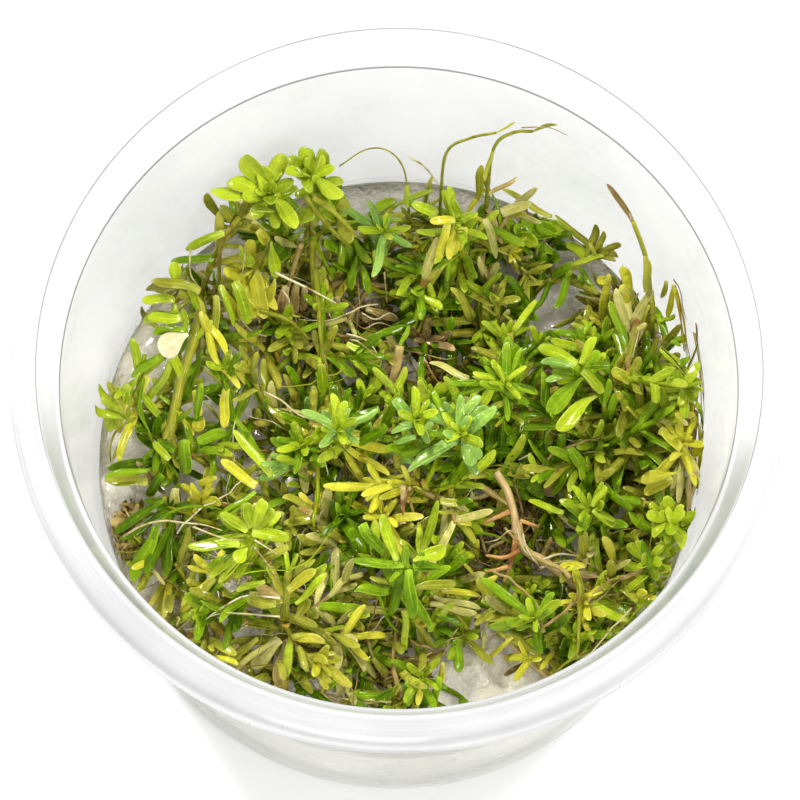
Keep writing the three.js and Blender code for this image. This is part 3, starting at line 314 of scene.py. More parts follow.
# Single leaves that stand out, by the shoot that carries them: tissue, stalk end, tip, width. Points
# are as for the stems. A scratch script worked out and printed these rows from readings by eye.
LONE_LEAVES = {
    "crown_back_left": [
        ("lime", (-18, 25, 18), (-17.5, 21.5, 13), 2.1), ("lime", (-24.5, 26.5, 17), (-30, 25, 15), 1.2),
    ],
    "hanging_leaves_back_left": [
        ("yellow", (-17.5, 21.5, 13), (-18.5, 19.5, 8), 2.1),
        ("yellow", (-22.5, 20.5, 13), (-21, 17, 8), 2.1), ("yellow", (-25, 20.5, 12), (-22.5, 17, 7), 1.6),
        ("lime", (-22.5, 25.5, 15), (-21, 23, 13), 1.9), ("yellow", (-20, 27, 17), (-18.5, 25.5, 15), 1.7),
        ("yellow", (-27.5, 16, 14), (-25, 12, 9), 1.2), ("olive", (-25.5, 18.5, 14), (-25, 12.5, 10), 1.1),
        ("yellow", (-23.5, 11.5, 9), (-21, 8.5, 6), 1.3), ("lime", (-23, 20.5, 14), (-20.5, 16, 10), 1.8),
        ("lime", (-25, 20, 14), (-22.5, 15.5, 10), 1),
    ],
    "thick_stem_left": [
        ("lime", (-31, 19.5, 15), (-31, 22, 17), 1.9), ("lime", (-31, 17.5, 14), (-35.5, 17.5, 15), 1.4),
        ("lime", (-31.5, 16, 13), (-35.5, 15, 12), 2), ("lime", (-31, 17, 14), (-31, 14.5, 12), 1.9),
        ("green", (-34, -4.5, 6), (-40, -5, 6), 1), ("olive", (-34, -6, 5), (-40, -5.5, 4), 1.6),
        ("deep", (-32, -5, 6), (-34, -7.5, 3), 1.4), ("lime", (-31, -3.5, 8), (-33.5, -1.5, 9), 1.2),
        ("yellow", (-28, 6, 10), (-27.5, 3, 8), 0.9), ("yellow", (-27.5, 3.5, 8), (-27, 1, 7), 2),
        ("green", (-27.5, -0.5, 7), (-23.5, 1, 8), 1.6), ("green", (-29, -0.5, 8), (-29, -5, 6), 1.7),
        ("cream", (-29, 13, 13), (-33, 10.5, 13), 3.4), ("olive", (-27.5, 18.5, 15), (-34, 20, 17), 1.4),
        ("lime", (-30, 15, 14), (-34.5, 14, 15), 1.7), ("green", (-29.5, 14, 12), (-34, 13.5, 13), 1.4),
    ],
    "crown_back_left_second": [
        ("green", (-9, 27, 10), (-11, 27.5, 12), 1.4),
    ],
    "yellow_crown_back": [
        ("lime", (4.5, 29, 19), (1, 30, 21), 1.7), ("yellow", (7, 28.5, 19), (3.5, 28, 20), 1.3),
        ("lime", (7, 29, 19), (6, 32, 23), 1.1), ("lime", (7.5, 29, 19), (7, 30.5, 22), 1),
        ("lime", (8, 28.5, 19), (10, 29.5, 20), 1.1), ("yellow", (6, 28.5, 18), (5, 24, 14), 1.4),
        ("yellow", (8, 28, 18), (7, 25, 14), 1), ("yellow", (8.5, 28, 18), (8, 25.5, 15), 0.9),
        ("pale", (5, 27, 16), (2.5, 23, 11), 1.4),
    ],
    "bent_stem_back_right": [
        ("pale", (11, 30, 16), (13.5, 26.5, 11), 1.6), ("pale", (13.5, 32.5, 12), (17.5, 34.5, 12), 1.7),
        ("olive", (10, 34.5, 12), (11, 36.5, 19), 1.1),
    ],
    "wet_leaves_back_right": [
        ("green", (19.5, 31, 3), (16.5, 34, 6), 2.6), ("green", (17.5, 31, 4), (16, 33.5, 6), 2.2),
        ("green", (22, 32, 4), (19, 34, 6), 2.4), ("lime", (24, 32, 4), (20.5, 34.5, 5), 1.9),
        ("lime", (26.5, 29.5, 4), (23, 31.5, 4), 1.8), ("olive", (28.5, 29.5, 4), (21, 35, 5), 1.4),
        ("olive", (21, 35, 5), (13.5, 37.5, 7), 1.2), ("green", (20, 29, 3), (18, 31.5, 3), 2),
        ("green", (22, 29, 3), (20, 30.5, 3), 1.8),
    ],
    "brown_stem_back_right": [
        ("lime", (28, 27.5, 10), (23.5, 26.5, 9), 0.9), ("green", (24.5, 25, 8), (26, 24.5, 5), 1.1),
        ("lime", (10.5, 22, 6), (13.5, 25.5, 8), 0.9),
    ],
    "mossy_stem_right": [
        ("yellow", (30, 21.5, 14), (33, 19, 9), 1.8), ("yellow", (32, 21, 11), (30, 24, 15), 1.4),
        ("yellow", (29, 23.5, 10), (27, 24, 10), 1.2), ("olive", (33.5, 20, 16), (33, 23, 22), 1.3),
        ("olive", (30, 22, 13), (33, 19, 10), 1.4), ("lime", (30, 24, 14), (31.5, 22, 11), 1),
        ("brown", (29, 23, 11), (30.5, 21.5, 9), 1), ("lime", (35.5, 17.5, 11), (38.5, 18, 12), 0.7),
        ("yellow", (32, 16, 9), (33, 13.5, 7), 1), ("yellow", (30.5, 13, 8), (30.5, 10.5, 6), 1.5),
        ("tan", (30.5, 17, 7), (34.5, 18, 7), 1), ("brown", (31.5, 16, 6), (34, 17, 6), 0.9),
    ],
    "wall_bunch_left": [
        ("lime", (-38.5, 6.5, 9), (-40, 2, 3), 1.5), ("lime", (-37, 6.5, 10), (-38.5, 3.5, 5), 1.6),
        ("yellow", (-37.5, 4.5, 8), (-39, 1.5, 4), 1.5), ("lime", (-37.5, 5.5, 9), (-37, 4.5, 6), 1.4),
        ("green", (-33, 10, 12), (-37, 8, 10), 1.6), ("lime", (-35.5, 8, 11), (-40, 1.5, 4), 1.9),
        ("yellow", (-34.5, 8, 10), (-38.5, 2, 5), 1.5), ("lime", (-31.5, 10, 10), (-34.5, 4, 6), 1.2),
        ("olive", (-36, 3, 6), (-39.5, -2, 2), 0.7), ("green", (-33, 6, 7), (-30.5, 4.5, 6), 0.6),
    ],
    "small_crown_left": [
        ("pale", (-30, -7.5, 8), (-30, -10.5, 6), 1.6), ("yellow", (-24.5, -5.5, 7), (-27, -6.5, 6), 1.2),
        ("green", (-19, -8, 9), (-24.5, -11.5, 8), 0.9), ("green", (-19, -8, 9), (-23, -11.5, 8), 0.8),
    ],
    "leaves_left": [
        ("yellow", (-19, -7, 8), (-24, -4, 10), 1.4), ("lime", (-17, -5.5, 8), (-22.5, -0.5, 12), 1.5),
        ("olive", (-29.5, -0.5, 7), (-29, -4.5, 5), 1.4), ("green", (-26.5, -0.5, 6), (-23.5, 1.5, 6), 1.3),
        ("yellow", (-28, 6, 9), (-27.5, 2.5, 6), 0.8), ("olive", (-27, 9.5, 9), (-22, 6, 5), 0.6),
        ("olive", (-27, 5.5, 6), (-23, 2, 4), 0.4),
    ],
    "blades_lower_left": [
        ("deep", (-31.5, -9, 7), (-38.5, -13, 4), 1.3),
        ("green", (-32.5, -12.5, 6), (-35.5, -19.5, 2), 1.8),
        ("green", (-33.5, -4, 5), (-39.5, -4, 3), 1.1), ("deep", (-30.5, -2, 7), (-33, -0.5, 7), 1.2),
        ("green", (-32.5, -0.5, 7), (-31.5, -3, 6), 1.1),
    ],
    "spears_lower_left": [
        ("olive", (-24, -20, 8), (-28, -23.5, 4), 1.2), ("green", (-23, -20.5, 8), (-27, -23, 4), 1.2),
        ("lime", (-26, -24, 6), (-30, -25.5, 3), 1.3),
    ],
    "crown_lower_left": [
        ("lime", (-20.5, -17.5, 16), (-27.5, -18, 15), 1.6),
        ("lime", (-19.5, -18, 16), (-21, -20, 16), 1.9), ("lime", (-21, -19, 14), (-23.5, -21, 11), 1.6),
        ("lime", (-19, -16, 17), (-14, -16.5, 16), 1.6),
        ("lime", (-19, -15.5, 17), (-17.5, -12.5, 20), 1.6),
        ("lime", (-19, -15.5, 17), (-20, -13, 20), 1.6),
        ("lime", (-18.5, -15.5, 17), (-16, -13.5, 19), 1.6),
        ("lime", (-19.5, -16, 17), (-23.5, -14, 17), 1.6),
    ],
    "olive_stem_front_left": [
        ("yellow", (-14, -23, 13), (-10.5, -20.5, 16), 1.5),
        ("lime", (-13, -24.5, 12), (-8.5, -21, 14), 1.1), ("olive", (-13, -26, 10), (-11, -23.5, 11), 1.9),
        ("olive", (-15.5, -24.5, 12), (-19.5, -24.5, 12), 1.6),
        ("tan", (-15, -23.5, 12), (-18.5, -22.5, 13), 1.2), ("lime", (-17, -22, 14), (-21, -23, 14), 0.9),
        ("pale", (-15, -28, 7), (-18.5, -31.5, 3), 1.7), ("tan", (-14.5, -28, 6), (-15.5, -33.5, 2), 2),
        ("pale", (-15, -28, 7), (-21.5, -31, 3), 0.9), ("olive", (-13.5, -28, 8), (-8.5, -27.5, 7), 1.5),
        ("olive", (-13.5, -29, 6), (-9.5, -30, 4), 1.1), ("olive", (-13.5, -30, 4), (-7.5, -30.5, 3), 1.6),
        ("pale", (-20.5, -28.5, 4), (-23.5, -29.5, 3), 1.4),
        ("olive", (-18, -27.5, 5), (-22.5, -30.5, 3), 1.1),
    ],
    "yellow_bunch_right": [
        ("yellow", (38, -4.5, 12), (33, -5.5, 12), 2.1), ("yellow", (37.5, -5, 11), (33.5, -6.5, 10), 1.7),
        ("yellow", (38.5, -1.5, 13), (35.5, 0.5, 14), 1.7), ("tan", (40.5, -4, 12), (41, -7, 7), 1),
        ("tan", (40, -4.5, 12), (39.5, -8.5, 7), 0.9), ("yellow", (41.5, 0.5, 12), (42, -5, 6), 1.3),
        ("olive", (42, 1.5, 12), (43, -2.5, 7), 0.9), ("pale", (35.5, 3, 12), (39.5, 2.5, 13), 1.2),
        ("yellow", (35.5, 1.5, 12), (39, -0.5, 10), 1.6), ("yellow", (41, 2.5, 12), (42.5, -2, 7), 0.8),
        ("tan", (40, 5.5, 12), (41, -2, 6), 0.6), ("lime", (41.5, 2, 11), (43, -1, 7), 0.9),
        ("lime", (42, -0.5, 9), (43, -4.5, 5), 0.9), ("yellow", (41.5, -1, 9), (41.5, -6, 4), 0.9),
        ("tan", (39.5, 1, 8), (39.5, -1.5, 5), 0.9),
    ],
    "diagonal_stem_right": [
        ("lime", (36.5, 5, 11), (26.5, 0.5, 6), 1.2), ("green", (34.5, 5.5, 10), (26, 1.5, 6), 1.1),
        ("lime", (39, 7, 12), (25.5, 0.5, 6), 1.3), ("green", (29.5, 5, 8), (26, 3, 6), 1),
        ("olive", (32.5, 2, 8), (33, -2, 5), 1.1), ("green", (35, 1.5, 9), (33.5, -2.5, 6), 1.1),
    ],
    "whorl_right": [
        ("lime", (39.5, 6.5, 16), (35.5, 8.5, 15), 1.2), ("yellow", (40.5, 3.5, 10), (36, 3, 10), 1.3),
        ("yellow", (31.5, 8, 13), (29, 9.5, 14), 1.4), ("lime", (35.5, 13, 13), (39.5, 9.5, 13), 1.3),
        ("lime", (35, 9, 12), (38.5, 10, 13), 1), ("lime", (39, 8, 14), (41, 6, 12), 1.3),
        ("yellow", (38.5, 7.5, 14), (40, 4.5, 11), 1.2), ("green", (37, 14, 13), (38.5, 13.5, 13), 0.8),
        ("lime", (40.5, 5.5, 12), (43.5, 4, 10), 1.1), ("green", (41, 4.5, 12), (43.5, 2.5, 9), 0.8),
        ("olive", (31.5, 9, 10), (38.5, 7, 13), 1.2),
    ],
    "star_crown": [
        ("green", (13.5, 6, 17), (6.5, 5.5, 16), 0.9), ("green", (13.5, 6, 17), (7, 4.5, 15), 0.9),
        ("pale", (9.5, 7, 15), (4, 9, 16), 1.2), ("lime", (13, 6, 17), (10, 7, 19), 1.1),
        ("green", (13.5, 6, 17), (17, 5, 16), 1.3), ("green", (13.5, 5.5, 17), (17.5, 3.5, 14), 1.1),
        ("lime", (13, 5.5, 17), (11, 3, 15), 1.4),
    ],
    "crown_blue_centre": [
        ("blue", (8.5, -2, 17), (10, -5.5, 15), 1.9), ("blue", (9, -2.5, 17), (11.5, -4, 15), 1.7),
        ("blue", (8, 0, 17), (10.5, 4, 18), 1.6), ("blue", (8.5, -0.5, 17), (12.5, 1.5, 18), 1.9),
        ("blue", (6.5, 0, 16), (3, 3, 16), 2), ("green", (6, 1.5, 16), (4.5, 4.5, 17), 1),
        ("green", (7.5, -1, 16), (3, -1.5, 15), 1.1), ("blue", (6.5, -2.5, 16), (3, -5, 13), 1.8),
        ("green", (6.5, -2, 15), (0, -3.5, 12), 1.1),
    ],
    "crown_blue_left": [
        ("blue", (2.5, 0.5, 15), (-1, -0.5, 14), 1.4), ("blue", (1.5, 1.5, 15), (-1, 3.5, 15), 1.8),
        ("blue", (2.5, -1.5, 15), (-0.5, -1.5, 13), 1.2), ("deep", (-2.5, 3, 13), (-7.5, 1.5, 12), 1.2),
        ("deep", (-1.5, 1, 12), (-5, -1.5, 10), 1.3),
    ],
    "hairy_stem": [
        ("tan", (15.5, -8.5, 8), (11, -5.5, 8), 0.9), ("yellow", (26, -16.5, 7), (22.5, -17, 7), 1.3),
        ("lime", (25.5, -21.5, 5), (21.5, -21, 5), 0.9), ("lime", (26, -20, 5), (32, -23, 4), 1.3),
    ],
    "small_crown_right": [
        ("lime", (26.5, -10, 13), (28, -7.5, 15), 0.9), ("lime", (26.5, -10.5, 13), (29.5, -12.5, 12), 1),
        ("green", (26, -11, 13), (25, -13.5, 11), 1.3), ("green", (30, -7.5, 9), (33.5, -7.5, 9), 1.6),
        ("lime", (23, -9.5, 8), (18, -8, 8), 1.1), ("deep", (16, -3, 7), (20, -7, 6), 1.8),
        ("green", (23.5, 0, 8), (26, -3.5, 7), 1.6), ("dry", (21, -4, 6), (21, -6, 4), 1.6),
    ],
    "dark_blades_right": [
        ("deep", (17, 1, 8), (17.5, -3.5, 5), 1.2), ("deep", (20.5, 0.5, 8), (20.5, -3.5, 4), 1.2),
        ("green", (28, 1, 8), (27.5, -3.5, 4), 1.2), ("deep", (29.5, -0.5, 8), (29.5, -5, 4), 1.4),
        ("olive", (24.5, -4, 6), (25, -7.5, 3), 1.1), ("deep", (15.5, 6.5, 12), (21, 3.5, 9), 1.5),
        ("green", (14.5, 6.5, 15), (19, 6, 14), 1.2), ("deep", (17.5, 4, 9), (17, -2.5, 5), 1.5),
        ("deep", (14.5, 3.5, 8), (14.5, -1.5, 5), 1.3), ("deep", (20.5, 2, 9), (20, -2.5, 5), 1.9),
        ("deep", (24.5, 1, 8), (25.5, -2.5, 5), 1.4), ("deep", (22.5, 2, 8), (22.5, -2.5, 5), 1.3),
        ("green", (14, 8, 14), (14, 13, 16), 1.3), ("deep", (17, 9, 11), (15.5, 13.5, 12), 1.9),
        ("olive", (17, 3.5, 8), (20.5, 4, 7), 0.8),
    ],
    "yellow_pods_right": [
        ("lime", (27.5, -12.5, 7), (28, -19, 4), 0.9), ("green", (31, -11.5, 7), (31, -15.5, 4), 1),
        ("olive", (29, -11, 7), (29, -14, 4), 1),
    ],
    "leaf_pairs_lower_right": [
        ("green", (34.5, -16.5, 9), (33, -14, 11), 1.5), ("green", (34.5, -16.5, 9), (36, -18, 7), 1.4),
        ("lime", (38, -13, 12), (36.5, -10, 14), 1.5), ("lime", (38.5, -13, 12), (40, -15, 9), 1.6),
        ("green", (38, -12.5, 12), (35, -13, 11), 1), ("lime", (38.5, -12, 12), (41, -10.5, 12), 1.2),
        ("lime", (40.5, -10.5, 10), (42, -9, 9), 1),
    ],
    "pale_leaves_front": [
        ("pale", (-7.5, -25.5, 6), (-6, -34.5, 2), 1.7), ("pale", (-6.5, -27, 6), (-2, -32, 2), 1.2),
        ("olive", (-2.5, -29.5, 4), (0, -32, 2), 1.3),
    ],
    "crown_front_centre": [
        ("lime", (1.5, -24, 9), (2.5, -28.5, 5), 1), ("olive", (3, -25, 7), (6, -27.5, 4), 0.9),
        ("green", (1.5, -19.5, 15), (-5.5, -19.5, 14), 1.5),
        ("lime", (0.5, -19, 15), (-2.5, -12.5, 14), 1.8),
        ("green", (1.5, -19.5, 15), (1.5, -17.5, 17), 1.2), ("lime", (2.5, -19, 15), (7, -17, 15), 1.9),
        ("green", (2.5, -19.5, 14), (6.5, -19, 12), 1.8), ("green", (2, -20, 15), (3, -26, 12), 1.6),
        ("deep", (1, -20.5, 12), (0, -25, 9), 1.6), ("green", (-0.5, -22, 10), (-5, -21.5, 10), 1.8),
        ("olive", (3, -21, 9), (8.5, -20, 9), 1.3), ("lime", (-3, -24.5, 8), (-6, -25, 8), 0.9),
    ],
    "gel_sprig_front": [
        ("green", (9, -26.5, 4), (9, -31, 3), 1.5), ("green", (8.5, -26, 4), (6.5, -24.5, 4), 1.3),
        ("yellow", (16.5, -26, 4), (13, -29, 2), 0.7), ("pale", (13, -24, 4), (12, -28, 2), 0.5),
    ],
    "crown_front_right": [
        ("lime", (17, -25.5, 7), (22, -23.5, 8), 1.2), ("deep", (18.5, -26, 6), (21, -27, 4), 1.9),
    ],
    "green_leaves_front": [
        ("green", (-0.5, -35, 4), (-5.5, -34.5, 3), 1.3), ("green", (2, -33, 5), (4.5, -34, 3), 1.2),
        ("deep", (4.5, -32.5, 5), (5, -35.5, 3), 1), ("green", (6.5, -32, 5), (6, -35.5, 3), 1.1),
        ("yellow", (7, -30, 5), (7, -33.5, 3), 0.9),
    ],
    "flat_stem_back": [
        ("dry", (-16, 22, 9), (-17, 19, 4), 1.6), ("tan", (-14.5, 22.5, 9), (-15, 19, 4), 1.5),
        ("dry", (-13.5, 22.5, 8), (-13.5, 20, 4), 1.2), ("dry", (-10, 21, 8), (-10.5, 18, 4), 1.6),
        ("tan", (-9, 21, 8), (-8.5, 18.5, 4), 1.5),
    ],
    "decayed_clump_back": [
        ("tan", (-5, 20, 6), (-0.5, 19, 4), 1.3), ("brown", (-5.5, 19, 5), (-1, 18, 3), 1.5),
    ],
    "green_stem_centre": [
        ("lime", (-11, 10, 11), (-10.5, 7, 6), 1.7), ("lime", (-7.5, 14, 8), (-3, 12.5, 6), 1.1),
        ("deep", (-4.5, 15, 8), (1.5, 17, 8), 1.3), ("deep", (-6.5, 12, 7), (-1.5, 10.5, 6), 1.4),
    ],
    "dark_blades_back": [
        ("green", (-3, 26, 9), (2.5, 24, 8), 1.1), ("green", (-1, 25, 10), (3, 25, 9), 0.9),
        ("lime", (-4, 27, 11), (-3.5, 24.5, 7), 1), ("lime", (2.5, 20.5, 8), (1.5, 16.5, 4), 0.8),
    ],
    "tall_leaf_right": [
        ("yellow", (37.5, 20.5, 18), (36.5, 17.5, 13), 1.1), ("olive", (36, 21, 18), (36, 19.5, 15), 0.9),
    ],
    "wall_crown_right": [
        ("lime", (41.5, -4.5, 10), (43, -7, 6), 1), ("lime", (40, -3.5, 11), (42, -5.5, 9), 1.2),
    ],
    "crown_right": [
        ("green", (30.5, 7, 12), (33, 5.5, 9), 1.9), ("lime", (24, 8.5, 18), (19, 11.5, 18), 1.8),
        ("lime", (24.5, 8.5, 18), (26, 12, 20), 1.4), ("blue", (23.5, 8.5, 18), (19, 9, 18), 1.1),
        ("lime", (24.5, 8, 17), (28, 6, 15), 1.5), ("green", (25, 7.5, 16), (20, 3.5, 13), 2.8),
        ("lime", (27, 5.5, 14), (21, 1.5, 13), 2.3), ("green", (25, 8.5, 17), (28.5, 9, 17), 1),
        ("blue", (23.5, 9, 13), (20, 8, 12), 1.4),
    ],
    "blades_front_centre": [
        ("green", (-4.5, -13, 12), (-1.5, -17.5, 10), 1.7), ("deep", (-6, -13, 10), (-4, -17, 8), 1.6),
        ("deep", (-3, -15.5, 9), (0, -17, 9), 1.3),
    ],
    "pale_pair_front": [
        ("pale", (5.5, -21.5, 7), (12, -23, 6), 0.8), ("pale", (5, -22.5, 7), (11.5, -23.5, 6), 1.2),
        ("yellow", (6.5, -20.5, 7), (12, -21, 6), 1.2), ("green", (6, -23.5, 6), (9.5, -24.5, 5), 1.2),
        ("yellow", (9, -16, 6), (11, -17.5, 5), 0.6), ("lime", (12, -21.5, 6), (16, -23, 5), 1.1),
    ],
    "yellow_leaves_centre": [
        ("olive", (6, -8.5, 9), (9, -9, 8), 1.3), ("yellow", (7.5, -11, 8), (10.5, -11, 7), 1.4),
    ],
}

